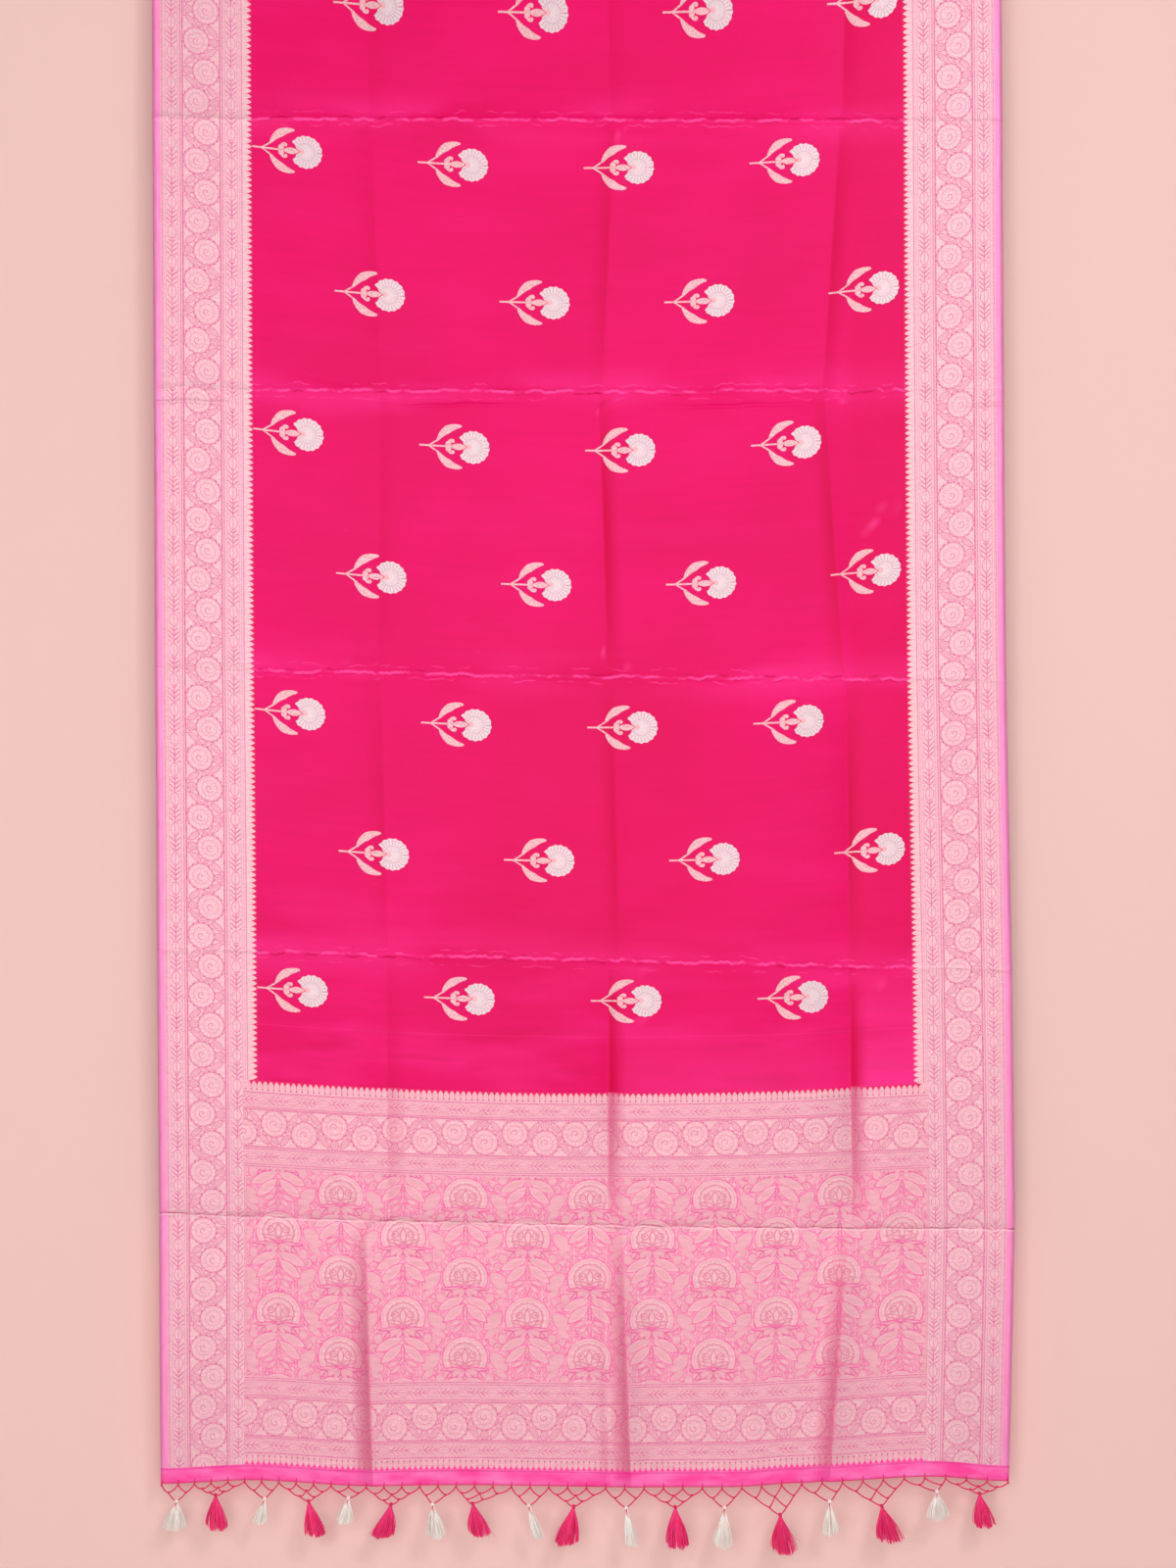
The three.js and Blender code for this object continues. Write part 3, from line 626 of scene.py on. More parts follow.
FIELD_RED = (235, 5, 98)
FIELD_DEEP = (227, 3, 90)
FIELD_BRIGHT = (255, 44, 140)
ZARI_PINK = (232, 194, 199)
ZARI_PALE = (252, 206, 212)
ZARI_DEEP = (222, 146, 170)
GROUND_PINK = (226, 102, 156)
SELVEDGE = (253, 150, 204)
MAGENTA = (255, 70, 160)
ZARI_GLINT = (1.0, 0.6, 0.75)
# one bloom of the rose stripe; one column of the jaal across and half its repeat up
ROSE_PITCH = 40.44
JAAL_COLUMN, JAAL_STEP = 83.83, 57.1


def field_ground():
    """The satin ground: a few slubs across, painted sheen in patches, painted shade on the creases, and
    painted highlights along the crests of its folds and on its wrinkles.
    """
    u, v = Draft.u, Draft.v
    fold, crease_shade, wrinkle_glint = fold_and_painted_light()
    ground = grainy(50, (0.15, 2.4, 1)) * 0.3 + grainy(5, (1, 1, 1)) * 0.7
    fleck = grainy(150, (0.3, 1.2, 1)).fade(0.8, 0.7)
    low = v.fade(600, 900)
    # painted sheen in patches, strongest at the foot of the field, and painted duller patches there
    sheen = grainy(9, (0.5, 1.6, 1), 3).fade(0.66, 0.46) * (low * 0.36 + 0.08)
    satin_shade = grainy(14, (0.4, 2.4, 1)).fade(0.34, 0.46) * low * 0.5
    # a faint painted highlight line across the field, 635 mm up, where a faint fold lies
    faint_fold_highlight = v + (grainy(30, (1, 0.1, 1)) - 0.5) * 4 - 635
    # painted sheen on either side of a fold, and low down right of the last crease
    fold_sheen = fold.near(8, 40).high(u.fade(946, 928) * v.fade(620, 900))
    fold_sheen = fold_sheen * grainy(7, (0.5, 1.6, 1)).fade(0.6, 0.44) * 0.45
    # painted shade right of the last crease and over the middle, painted sheen again at the foot of the field
    painted_deep_shade = (u.fade(952, 926) * v.fade(760, 660)).high((v - 940).near(160, 300) * (u - 590).near(120, 230))
    foot = v.fade(590, 650) * (u.fade(650, 600) * 0.24 + u.fade(946, 928) * 0.26)
    # the pressed folds: a jagged painted highlight along each, broken painted shade beside it, fainter
    # painted highlight lines about it
    jag = (grainy(48, (1, 0.1, 1), 3) - 0.5) * 13
    broken = grainy(75, (0.5, 0.5, 1))
    shade = (fold + jag - 2.6).line(1.6, 1.0) * broken.fade(0.63, 0.55)
    shade = shade + (fold + jag + 2.6).line(1.4, 1.0) * broken.fade(0.38, 0.46)
    faint = (fold + jag * 1.3 + 8).line(0.6, 1.0) * broken.fade(0.62, 0.5)
    faint = faint.high((fold - jag * 1.2 - 10).line(0.6, 1.0) * broken.fade(0.4, 0.5) * 0.7)
    crest = (fold + jag + 0.5).line(2.4, 1.2) * (broken.fade(0.47, 0.57) * 0.8 + 0.12)
    # painted shade on the steep flanks of the creases, and painted highlights along the folds and on the
    # wrinkles
    return dyed(blend(ground.fade(0.38, 0.64), FIELD_RED, FIELD_DEEP),
                (fleck * 0.25, FIELD_BRIGHT), (sheen, (255, 42, 138)), (satin_shade, (214, 2, 74)),
                (faint_fold_highlight.line(0.6, 1.0) * 0.2, (255, 60, 150)), (fold_sheen, (255, 48, 142)),
                (painted_deep_shade * 0.42, (222, 2, 72)), (foot, (255, 58, 150)),
                ((crease_shade * 0.9).low(0.85), (212, 0, 62)), (shade * 0.7, (196, 0, 60)),
                (crest.high(faint * 0.6, wrinkle_glint).low(1.0), (255, 72, 154)))


def field_silk():
    """Field: satin with a sprig lying on its side, in half-drop rows."""
    u, v = new_silk("field_silk")
    vb, va = v.around(382, 685), v.around(382, 884)
    row = vb.size().by("LESS_THAN", 96)
    x = u.around(224.3, 207.4) * row + u.around(222.8, 318.4) * row.rest()
    y = vb * row + va * row.rest()
    away = y.size()
    spot, mouth = Spot(x, y), Spot(x, away)
    # flower: a fan of fine petals, open towards the stem
    r, a = spot.far(0, 0), spot.turn()
    fan = (r + (a * 17).sine() * 0.55).fade(21.4, 22.2)
    fan = fan * (mouth.far(-26.5, 0) - 14.2).fade(0.6, -0.2)
    rays = (a * 12).sine().near(0.0, 0.55) * (r - 16.2).near(3.6, 4.4)
    rays = rays.high((a * 12 + 1).sine().near(0.0, 0.45) * (r - 9.4).near(2.4, 3.0) * 0.8)
    rings = (r + (a * 17).by("COSINE").size() - 12.2).line(0.5) * 0.5
    slit = away.fade(0.4, 1.1) * x.fade(15.5, 13.5)
    drawn = (rays * 0.95).high(rings, slit)
    eye = spot.far(-5.5, 0.5).fade(3.4, 4.4)
    # leaves: two serrated crescents, mirrored over the stem
    round_leaf = (away + 8).by("ARCTAN2", x + 15.5)
    share = (round_leaf - 2.13).size()
    teeth = (round_leaf * 36).by("PINGPONG", 1.0)
    band = mouth.far(-15.5, -8) - 36.2
    width = share.fade(0.0, 0.58).by("POWER", 0.62) * 5.1
    leaf = (band.high((band * -1) + teeth * -0.8) - width).fade(-0.1, 0.6) * share.fade(0.55, 0.58)
    # stem with its fork, calyx and a pair of buds
    stem = away.fade(0.8, 1.5) * (x + 52).near(20.5, 21.2)
    fork = (away - (x + 60) * 0.66).near(0.9, 1.6) * (x + 54).near(6, 7)
    calyx = mouth.shape((-31, 0, -9, 0, 8.2), (-33.5, 3.2, 3.7), (-27.5, 7.4, 2.3), (-34, 7, -26, 9.5, 3.6))
    green = leaf.high(stem, fork, calyx.fade(-0.2, 0.5))
    fan = fan * mouth.leaf(-31, 0, -9, 0, 8.2).fade(0.6, 1.4).rest()
    speck = grainy(600, (1, 0.5, 1), 1).fade(0.62, 0.4) * 0.5
    leafy = blend(speck * 1.4, (230, 188, 190), (210, 130, 142))
    silver = dyed(blend(speck * 0.8, (220, 205, 207), (204, 164, 176)),
                  (drawn, (190, 140, 156)), (eye * 0.7, (228, 158, 162)))
    return silk(dyed(field_ground(), (green, leafy), (fan, silver)), green.high(fan), rough=0.42, crinkle=0.3)


def chevrons(across, along):
    """Lines of a narrow stripe: groups of nested chevrons, with a plain oval between the groups."""
    cell = along.around(ROSE_PITCH, 0)
    wing = across.size()
    nested = (along - wing * 0.95).around(6.5, 0).line(1.4, 1.0)
    group = (cell.size() - 9.8).fade(0, 1.0)
    arms = nested * group * wing.fade(6.6, 7.4)
    spine = across.line(0.7) * group
    oval = Spot(across * 1.6, cell.size() - 20.2)
    ring = (oval.far(0, 0) - 8.8).line(0.7, 1.0).high(across.line(0.6) * group.rest() * 0.7)
    dots = (wing - 8.2).line(0.8) * along.around(3.4).near(0.7, 1.3) * 0.8
    dots = dots.high((wing - 11.2).line(0.6) * along.around(3.4, 1.7).near(0.6, 1.2) * 0.8)
    return arms.high(spine, ring * 0.9, dots)


def roses(across, along):
    """Lines of the rose stripe: round blooms set left and right in turn, with curls between."""
    side = (along + ROSE_PITCH / 2).every(ROSE_PITCH) * 2 - 1
    y = along.around(ROSE_PITCH, 0)
    bloom = Spot(across - side * 6.4, y)
    r, a = bloom.far(0, 0), bloom.turn()
    lobes = (a * 8).sine().size()
    rough = grainy(0.22, (1, 1, 1), 1, bloom)
    edge = (r - lobes * 1.2 - 16.8).line(1.9, 0.9) * ((a * 16).by("COSINE").fade(-0.8, 0.2) * 0.4 + 0.8)
    edge = edge * (rough.fade(0.36, 0.5) * 0.4 + 0.8)
    curved = (a * 5.5 + 0.6).sine().size()
    ring = (r - curved * 1.5 - 9.4).line(0.6, 1.0)
    petals = lobes.fade(0.0, 0.26) * (r - 14).near(2.4, 3.2)
    swirl = (r * 1.15 - a).sine().fade(0.95, 0.5) * r.fade(5.4, 6.4)
    inner = curved.fade(0.0, 0.25) * (r - 7.6).near(1.4, 2.2)
    art = edge.high(ring * 0.6, petals * 0.5, inner * 0.6, swirl)
    # the free corner beside each bloom: leaves, a bud and curls
    corner = Spot((across * side) * -1, y)
    sprig = corner.shape((6, -20, 21, -8, 6.5), (8, 20, 22, 8.5, 7), (17.6, 0, 5.0), (22.5, 6.2, 2.4),
                         (22.5, -6.2, 2.4), (4, 21.5, -12, 18.5, 4.4), (4, -21.5, -12, -18.5, 4.4))
    curl = (corner.far(17.6, 0) - 2.0).line(0.7).high((corner.far(6, 20.2) - 3.6).line(0.7))
    outline, veins = (sprig - 0.3).line(0.8), (sprig + 2.2).line(0.5) * 0.6
    return art.high(outline.high(curl * 0.7, veins) * r.fade(19.4, 18.2) * 0.9)


def beads(out, along, pitch, back, wide):
    """A row of pointed beads: 1 on a bead. out is measured from their roots towards the ground."""
    y = along.around(pitch, 0).size()
    return Spot(out, y).leaf(back, 0, 9.4, 0, wide).fade(-0.3, 0.5)


def zari_cloth(lines, ground, layers, base=ZARI_PINK, metal=1.0):
    """Brocade: pale zari with the ground showing as drawn lines, in small uneven floats."""
    floats = grainy(640, (1, 0.6, 1), 1)
    picks = grainy(150, (0.3, 1.4, 1))
    grain = grainy(360, (1, 0.8, 1), 1)
    shown = (lines * (grain.fade(0.35, 0.6) * 0.5 + 0.55)).low(1.0)
    # painted shade on the steep flanks of the creases, and along each fold a painted dark line with a painted
    # highlight beside it
    fold, crease_shade, _ = fold_and_painted_light()
    crease_shade = crease_shade * (floats.fade(0.4, 0.6) * 0.4 + 0.6)
    jag = (grainy(48, (1, 0.1, 1), 3) - 0.5) * 8
    low = Draft.v.fade(500, 600) * 0.75 + 0.25
    crest = (fold + jag).line(1.1, 1.0) * (picks.fade(0.35, 0.55) * 0.6 + 0.3) * low
    beside = (fold + jag + 2.4).line(0.9, 1.0) * low * 0.4
    colour = dyed(blend(picks.fade(0.62, 0.38) * 0.6, base, ZARI_PALE),
                  (floats.fade(0.56, 0.44) * 0.3, ZARI_DEEP), (grain.fade(0.6, 0.4) * 0.34, (232, 150, 170)),
                  (shown, ground), *layers, (crease_shade.low(0.8), (216, 88, 130)),
                  (crest.low(0.85), (186, 88, 106)), (beside, (255, 214, 220)))
    return silk(colour, lines.rest() * metal, rough=0.48, crinkle=0.22, glint=ZARI_GLINT)


def border_silk():
    """Side border, from the selvedge in: plain selvedge, chevrons, roses, chevrons, beads."""
    u, v = new_silk("border_silk")
    inward = inward_of(u)
    along = v - 21.3
    first = chevrons(inward - 25.6, along) * (inward - 25.6).near(13.2, 13.8)
    rose = roses(inward - 66, along) * (inward - 66).near(24.2, 24.8)
    second = chevrons(inward - 106.5, along + 18) * (inward - 106.5).near(12.6, 13.2)
    rails = inward.lines((40.6, 1.5, 1), (91.4, 1.3, 1), (94.4, 0.7, 0.8), (120.6, 0.8, 0.8),
                         (12.4, 0.8, 0.8), (37.6, 0.6, 0.8))
    lines = first.high(rose, second, rails)
    bare = inward.fade(123.4, 122.8) * beads(inward - 124.4, v, 7.5, -10.5, 7.8).rest()
    edge = inward.fade(10.4, 11.0)
    plain = blend(grainy(260, (1, 0.1, 1)).fade(0.7, 0.3), (244, 136, 188), SELVEDGE)
    shade = bare * inward.fade(124, 129)
    return zari_cloth(lines * edge.rest(), GROUND_PINK, ((edge, plain), (bare, field_ground()),
                      (shade * 0.6, (176, 16, 78))), metal=bare.rest())


def band_silk():
    """Cross bands of the pallu, above and below the jaal: chevrons, roses, chevrons, beads."""
    u, v = new_silk("band_silk")
    # above the jaal the bands repeat in mirror order: fold the upper set on to the lower one
    upper = v.by("GREATER_THAN", 288)
    y = v * upper.rest() + (v * -1 + 578) * upper
    rose_side = (y - 86).size()
    first = chevrons((y - 47) * 1.3, u) * (y - 47).near(9.2, 9.7)
    rose = roses((y - 86) * 0.95, u + 6) * rose_side.fade(25, 25.6)
    second = chevrons((y - 126) * 1.3, u + 15) * (y - 126).near(9.2, 9.7)
    rails = y.lines((36.6, 0.9, 1), (60, 1.3, 1), (112.4, 1.3, 1), (115.4, 0.7, 1), (136.8, 0.8, 1),
                    (140, 0.9, 1)).high((y - 57.4).line(0.7, 0.7))
    picks = y.around(2.9).line(0.6) * rose_side.fade(26, 25) * 0.3
    lines = first.high(rose, second, rails, picks)
    bead = beads(y * -1 + 30.5, u, 7.6, -6, 7.2)
    bare = y.fade(31.5, 32.1) * bead.rest() * inward_of(u).fade(124, 122.5).high(upper.rest())
    root = (y - 32.6).near(0.5, 1.3) * u.around(7.6, 3.8).near(0.6, 1.7)
    shade = (bare * y.fade(31.5, 27) * 0.5).high(root * 0.7)
    return zari_cloth(lines, GROUND_PINK, ((bare, blend(upper, MAGENTA, FIELD_RED)), (shade, (186, 20, 92))),
                      base=(233, 187, 191), metal=bare.rest())


def jaal_silk():
    """The pallu's jaal: columns of drooping palmettes and round lotuses, each column half a step
    below the next, with berries and curled leaves between."""
    u, v = new_silk("jaal_silk")
    x = u.around(JAAL_COLUMN, 160.4).size()
    rise = v - 145.6 + (u - 118.5).every(JAAL_COLUMN) * JAAL_STEP
    lotus = rise.every(JAAL_STEP)
    palmette = lotus.rest()
    y = rise.around(JAAL_STEP, JAAL_STEP / 2)
    spot = Spot(x, y)
    heavy = grainy(90, (1, 1, 1)).fade(0.35, 0.65) * 0.8
    # small scrolls fill most of the ground between the figures
    scroll = Spot(u.around(8.6, 3), (v + (u * 0.7).sine() * 1.4).around(8.2, 2)).far(0.8, 0.5)
    scroll = (scroll - 2.8).line(0.9, 0.9).high(scroll.fade(0.3, 1.0)) * 0.75 + 0.2
    # lotus: a broad plain ring round a peony of petals, curls and a flame, leaves at its foot
    r, a = spot.far(0, 0), spot.turn()
    frill = (a * 9).by("COSINE").size()
    foot = spot.shape((3, -12, 32, -16, 9), (1, -15, 25, -28, 9.5), (0, -16, 10, -32, 7.6))
    cut = (y + 11.5 + x * 0.12) * -1
    curl = spot.far(10.5, 4)
    petals = (r - 22 + frill * 1.6).line(1.0, 1.0).high(
        frill.fade(0.0, 0.3) * (r - 18).near(2.4, 3.2) * 0.8,
        (r - 14.4 + (a * 13).by("COSINE").size() * 1.4).line(0.8, 0.9),
        (curl - 4.4).line(0.9, 0.9), curl.fade(0.9, 1.8), spot.leaf(0, -8, 0, 12, 8).line(1.0, 0.9),
        spot.leaf(1, -9, 21, -4.5, 6).line(0.9, 0.9), (r - 26.6).line(0.5, 0.9) * 0.45)
    soft_l = (petals * cut.fade(-0.6, 0)).high(foot.line(0.8, 0.9) * cut.fade(0.4, -0.2),
                                               (foot + 2).line(0.5) * cut.fade(0.4, 0) * 0.6)
    # palmette: two pairs of broad drooping leaves, a split stem, a frill and a drop
    one, two = spot.leaf(0.2, 29.4, 37, 11, 15), spot.leaf(0.4, 19.5, 29.5, -7, 14.5)
    fan = spot.shape((3, -3, 22, -12, 8), (1.6, -9, 17, -22, 7.6), (0, -6, 0, -24, 5))
    vein = spot.shape((3, 26.5, 31, 14, 1.0), (3.5, 14, 24, -3, 1.2)).fade(-0.1, 0.9)
    below = spot.far(0, -JAAL_STEP)
    soft_p = (vein * 0.5).high((x - 2.2).line(0.7, 0.9) * (y - 7).near(9, 10),
                               (fan + 1.9).line(0.5) * 0.6, (below - 26.6).line(0.5, 0.9) * 0.45)
    # the sides: berries, hooks and a broad leaf, shared with the neighbouring column
    berry_p = spot.shape((39.2, 15.5, 6.4), (23, 31.5, 5.8), (33.4, 27, 6.4))
    side_p = berry_p.low(spot.shape((26, -18, 50, 8, 20), (25, -29, 45, -15, 11)))
    berry_l = spot.shape((23, -23.5, 5.8), (33.4, -28, 6.4), (44.6, 15.5, 6.4))
    side_l = berry_l.low(spot.shape((57.8, -18, 33.8, 8, 20), (31, 29, 47, 13, 11)))
    soft_p = soft_p.high((side_p + 2.0).line(0.5, 0.9) * 0.5, (spot.far(38.8, 15.5) - 2).line(0.5))
    soft_l = soft_l.high((side_l + 2.0).line(0.5, 0.9) * 0.5 * (r - 31).fade(0.5, 0))
    # the ground shows between them, widest at the leaf tips and on the shoulders of the lotus
    leaves, next_one = one.low(two), below - 30.4
    clear = leaves.fade(0.8, 0.2) * next_one.fade(0.8, 0.2)
    gap_p = ((leaves.low(fan, side_p, next_one) - 0.9 + heavy).fade(1.1, 0.0) * scroll).high(
        two.line(0.8, 0.9), one.line(0.8, 0.9) * two.fade(0.6, 0), next_one.line(1.2, 1.0),
        fan.line(0.8, 0.9) * leaves.fade(0.8, 0.2) * next_one.fade(0.6, 0),
        side_p.line(0.8, 0.9).high(berry_p.line(0.8, 0.9)) * clear)
    dome = (r - 30.4).high(cut)
    gap_l = ((dome.low(foot, side_l) - 0.9 + heavy).fade(1.1, 0.0) * scroll).high(
        dome.line(1.2, 1.0),
        side_l.line(0.8, 0.9).high(berry_l.line(0.8, 0.9), foot.line(0.8, 0.9)) * dome.fade(0.8, 0.2))
    gap = gap_l * lotus + gap_p * palmette
    core = leaves.low(side_p) * palmette + foot.low(side_l) * lotus
    soft = (soft_l * lotus + soft_p * palmette).high(core.fade(-3.4, -1.8) * 0.3)
    side = inward_of(u)
    rail = (side - 115.4).line(0.7).high((side - 117.6).line(0.5, 0.7))
    shown = side.fade(118.6, 118.0)
    lines = (soft * shown * 0.95).high(rail * 0.7)
    return zari_cloth(lines, (226, 110, 150), ((gap * shown * (heavy * 0.5 + 0.55), (236, 88, 160)),),
                      base=(230, 187, 188))


def hem_silk():
    """End band: plain magenta silk, turned up, with a pressed edge."""
    _, v = new_silk("hem_silk")
    mottled = grainy(26, (0.7, 2, 1), 3)
    # painted shade on the steep flanks of the creases
    colour = dyed(blend(mottled.fade(0.66, 0.36), (255, 72, 158), (255, 124, 192)),
                  ((v - 18.6).line(0.6, 1.4) * 0.4, (214, 40, 130)), (fold_and_painted_light()[1] * 0.4, (214, 30, 120)))
    return silk(colour, rough=0.4, crinkle=0.4)


def reverse_silk(name, pale, deep):
    """Back of a woven zone: the figure is blurred by the floats that run across it."""
    new_silk(name)
    blur = grainy(60, (0.5, 6, 1), 3) * 0.6 + grainy(26, (1, 1, 1), 1) * 0.5
    return silk(blend(blur.fade(0.66, 0.42), deep, pale), rough=0.55, crinkle=0.3, glint=ZARI_GLINT)


FACES = [field_silk(), border_silk(), jaal_silk(), band_silk(), hem_silk()]
BACKS = [reverse_silk(*row) for row in (("field_reverse", (236, 34, 104), (222, 22, 88)),
                                        ("border_reverse", (238, 140, 170), (226, 74, 134)),
                                        ("jaal_reverse", (240, 150, 178), (236, 84, 150)),
                                        ("band_reverse", (238, 150, 176), (228, 84, 144)),
                                        ("hem_reverse", (250, 84, 168), (238, 62, 148)))]


def woven_zone(u, v):
    """Which weave a place on the cloth has, as its number in FACES."""
    inward = min(u, WIDTH - u)
    if v < HEM_TOP:
        return 4
    if v > FIELD_FOOT:
        return 1 if inward < BORDER else 0
    if inward < PALLU_BORDER:
        return 1
    return 2 if JAAL_FOOT < v < JAAL_TOP else 3


across = grid_lines((0, 12, 6), (12, PALLU_BORDER, 9.3), (PALLU_BORDER, BORDER, 10), (BORDER, 258, 9.5),
                    (292, 0, 0), (326, 574, 9.5), (574, 586, 6), (620, 0, 0), (654, 890, 9.5), (924, 0, 0),
                    (958, WIDTH - BORDER, 9.5), (WIDTH - BORDER, WIDTH - PALLU_BORDER, 10),
                    (WIDTH - PALLU_BORDER, 1138, 9.3), (1138, WIDTH, 6))
# the rows are close at the folds
along = grid_lines((0, HEM_TOP, 3.5), (HEM_TOP, JAAL_FOOT, 9), (JAAL_FOOT, 342, 10), (342, 364, 1.6),
                   (364, JAAL_TOP, 10), (JAAL_TOP, FIELD_FOOT, 10), (FIELD_FOOT, 698, 11), (698, 720, 1.6),
                   (720, 1085, 11), (1085, 1108, 1.6), (1108, 1456, 11), (1456, 1492, 1.6),
                   (1492, 1836, 11), (1836, 1857, 1.6), (1857, 2120, 12), (2120, FALL, 10),
                   (FALL, FALL + CREST, 2))
# its second layer carries the painted shade on the creases' steep flanks and the painted highlight on the
# wrinkles
front = to_piece("sari_front", lay_cloth(front_point, weft_at, across, along, woven_zone,
                                         lambda u, v: (fold_side(v), crease_shade_share(u, v) or -wrinkle_highlight(u, v)),
                                         settle, slide), *FACES, *BACKS)


def give_thickness(piece):
    shell = piece.modifiers.new("silk", "SOLIDIFY")
    shell.thickness = WALL
    shell.offset = 0
    shell.material_offset = len(FACES)
    shell.material_offset_rim = 0


give_thickness(front)
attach(front, "root")
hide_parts("front_fall", "pallu_hem")

# ---------------------------------------------------------------------------------------------
# The rest of the cloth, in one stretch: down the back, turned in at the bottom, up again to the
# rod, over it under the front, and its free end a little way down inside the front.
BACK_FALL = 1850.0
BACK_OUT, INNER_OUT = 22.0, 8.0
INNER_WRAP = 13.5
DRIFT = 320.0
PANEL = 372.0
TURN = (BACK_OUT - INNER_OUT) / 2
MIDDLE = (BACK_OUT + INNER_OUT) / 2
FREE_END = 350.0
# where its stretches begin, from the crest of the rod along the cloth
turn_at = CREST + BACK_FALL
inner_at = turn_at + TURN * pi
over_at = inner_at + BACK_FALL
free_at = over_at + INNER_WRAP * pi


def back_relief(u, w):
    out = (abs((w / PANEL) % 1 - 0.5) * 2 - 0.5) * 1.6
    flip = -1 if int(w // PANEL) % 2 else 1
    for k in (1, 2, 3):
        d = abs(u - k * WIDTH / 4 - 8 * sin(w / 190 + k))
        out += flip * 1.6 * exp(-d / 22) * sqrt(abs(sin(w / PANEL * pi)))
    near = (w / PANEL + 0.5) % 1 * PANEL - PANEL / 2
    if abs(near) < 30:
        lift = max(0.0, 0.5 + 0.4 * sin(u / 43 + w) + 0.3 * sin(u / 13))
        out += 0.9 * lift * exp(-(near / 3.2) ** 2)
    return out + 0.4 * sin(u / 57 + w / 190) * sin(w / 91)


def back_x(u, drop):
    return mix(EDGES[0][1], EDGES[0][2], u / WIDTH) + 0.0068 * drop


def rest_point(u, w):
    """w runs from the crest of the rod along the cloth to its free end."""
    def arc(drop, y, radius, a):
        return back_x(u, drop), y + radius * cos(a), -drop - radius * sin(a)

    def fall(drop, start, settled, relief, shift=0):
        ease = relief * smooth(drop / DRIFT) * smooth((BACK_FALL - drop) / 60)
        y = mix(start, settled, smooth(drop / DRIFT)) + back_relief(u, drop + shift) * ease
        return back_x(u, drop), y, -drop
    if w <= CREST:
        return arc(0, 0, OUTER_WRAP, w / OUTER_WRAP - pi / 2)
    if w <= turn_at:
        return fall(w - CREST, OUTER_WRAP, BACK_OUT, 1)
    if w <= inner_at:
        return arc(BACK_FALL, MIDDLE, TURN, (w - turn_at) / TURN)
    if w <= over_at:
        return fall(over_at - w, INNER_WRAP, INNER_OUT, -0.7, 186)
    if w <= free_at:
        return arc(0, 0, INNER_WRAP, (over_at - w) / INNER_WRAP)
    return fall(w - free_at, -INNER_WRAP, -INNER_OUT, 0)


rest_rows = grid_lines((0, CREST, 2), (CREST, turn_at - 30, 17), (turn_at - 30, turn_at, 8),
                       (turn_at, inner_at, 1.8), (inner_at, over_at, 36), (over_at, free_at, 2.8),
                       (free_at, free_at + FREE_END, 30))
rest_across = grid_lines((0, BORDER, 12), (BORDER, WIDTH - BORDER, 10), (WIDTH - BORDER, WIDTH, 12))


def rest_zone(u, w):
    return 1 if min(u, WIDTH - u) < BORDER else 0


rest = to_piece("sari_back", lay_cloth(rest_point, lambda u, w: FALL + CREST + w, rest_across, rest_rows,
                                       rest_zone, lambda u, w: (0.0, 0.0)), *FACES, *BACKS)
give_thickness(rest)
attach(rest, "root")
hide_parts("back_fall", "inner_fall", "free_end")
(free_at + FREE_END) / 1000

# ---------------------------------------------------------------------------------------------
# The fringe: eighteen silk tassels, white and pink in turn, each on its own share of a net of
# crimson thread, knotted stitch by stitch through the hem.
# X of the neck, X of the tip, knot and tip below the hem, half width of the skirt
TASSELS = ((-548, -552, 24, 65, 15), (-495, -493, 19, 67, 15), (-428, -437, 25, 61, 9),
           (-369, -360, 25, 74, 15), (-315, -321, 17, 53, 11), (-257, -273, 25, 74, 17),
           (-201, -195, 26, 74, 13), (-147, -135, 25, 72, 15), (-71, -55, 27, 76, 8), (-10, -21, 27, 82, 16),
           (61, 69, 28, 82, 9), (127, 131, 27, 84, 16), (194, 192, 28, 84, 13), (269, 276, 41, 96, 18),
           (336, 337, 27, 74, 11), (406, 421, 36, 89, 19), (481, 482, 20, 60, 16), (539, 546, 19, 66, 16))
STITCHES = 46
# a stitch through the hem, from its lower edge: place and radius
STITCH_FRONT = ((0.2, -1.1, 0.6, 0.6), (0.3, -0.9, 4.2, 0.55), (0.3, 0.3, 4.5, 0.4))
STITCH_BACK = ((0, 1.0, -0.4, 0.5), (0, 0.9, 3.4, 0.4))
NET_OFF = 1.7
# a tassel's net: its crossings (stitch above, share of the way to the knot, sink), and its threads
# from point to point, where the stitches come first, then the crossings, then the knot
NETS = {"white": (((0, 0.45, 0.8), (2, 0.45, 0.8)), "03 13 14 24 35 45"),
        "pink": (((0, 0.36, 0.5), (3, 0.36, 0.5), (1.5, 0.34, 1.2), (0, 0.72, 0.5), (3, 0.72, 0.5)),
                 "04 14 16 26 25 35 47 67 68 58 79 89")}


def stitch_u(n):
    reach = 22.36 * (STITCHES - 1) + 0.071 * (STITCHES - 1) ** 2
    return 1.4 + (22.36 * n + 0.071 * n * n) / reach * (WIDTH - 2.8)


def hem_point(u):
    return Vector(front_point(min(WIDTH, max(0.0, u)), 0))


def floss(name, light, dark, rough, scale):
    """Loose silk: lighter streaks painted as lustre along the strands, deeper ones painted as shade between
    them.
    """
    return streaked(name, (1, 1, 0.12), {"Scale": scale, "Detail": 3}, (0.36, dye(dark)), (0.6, dye(light)),
                    Roughness=rough, Sheen_Weight=0.5, Sheen_Tint=dye(light), Specular_IOR_Level=0.35,
                    Anisotropic=0.4)[0]


PINK_FLOSS = floss("pink_floss", (255, 66, 144), (255, 10, 96), 0.42, 620)
WHITE_FLOSS = floss("white_floss", (255, 252, 248), (255, 232, 220), 0.5, 620)
NET_THREAD = floss("net_thread", (244, 30, 104), (206, 14, 80), 0.5, 1500)
PEARL = floss("bead_white", (255, 246, 242), (246, 228, 220), 0.25, 60)


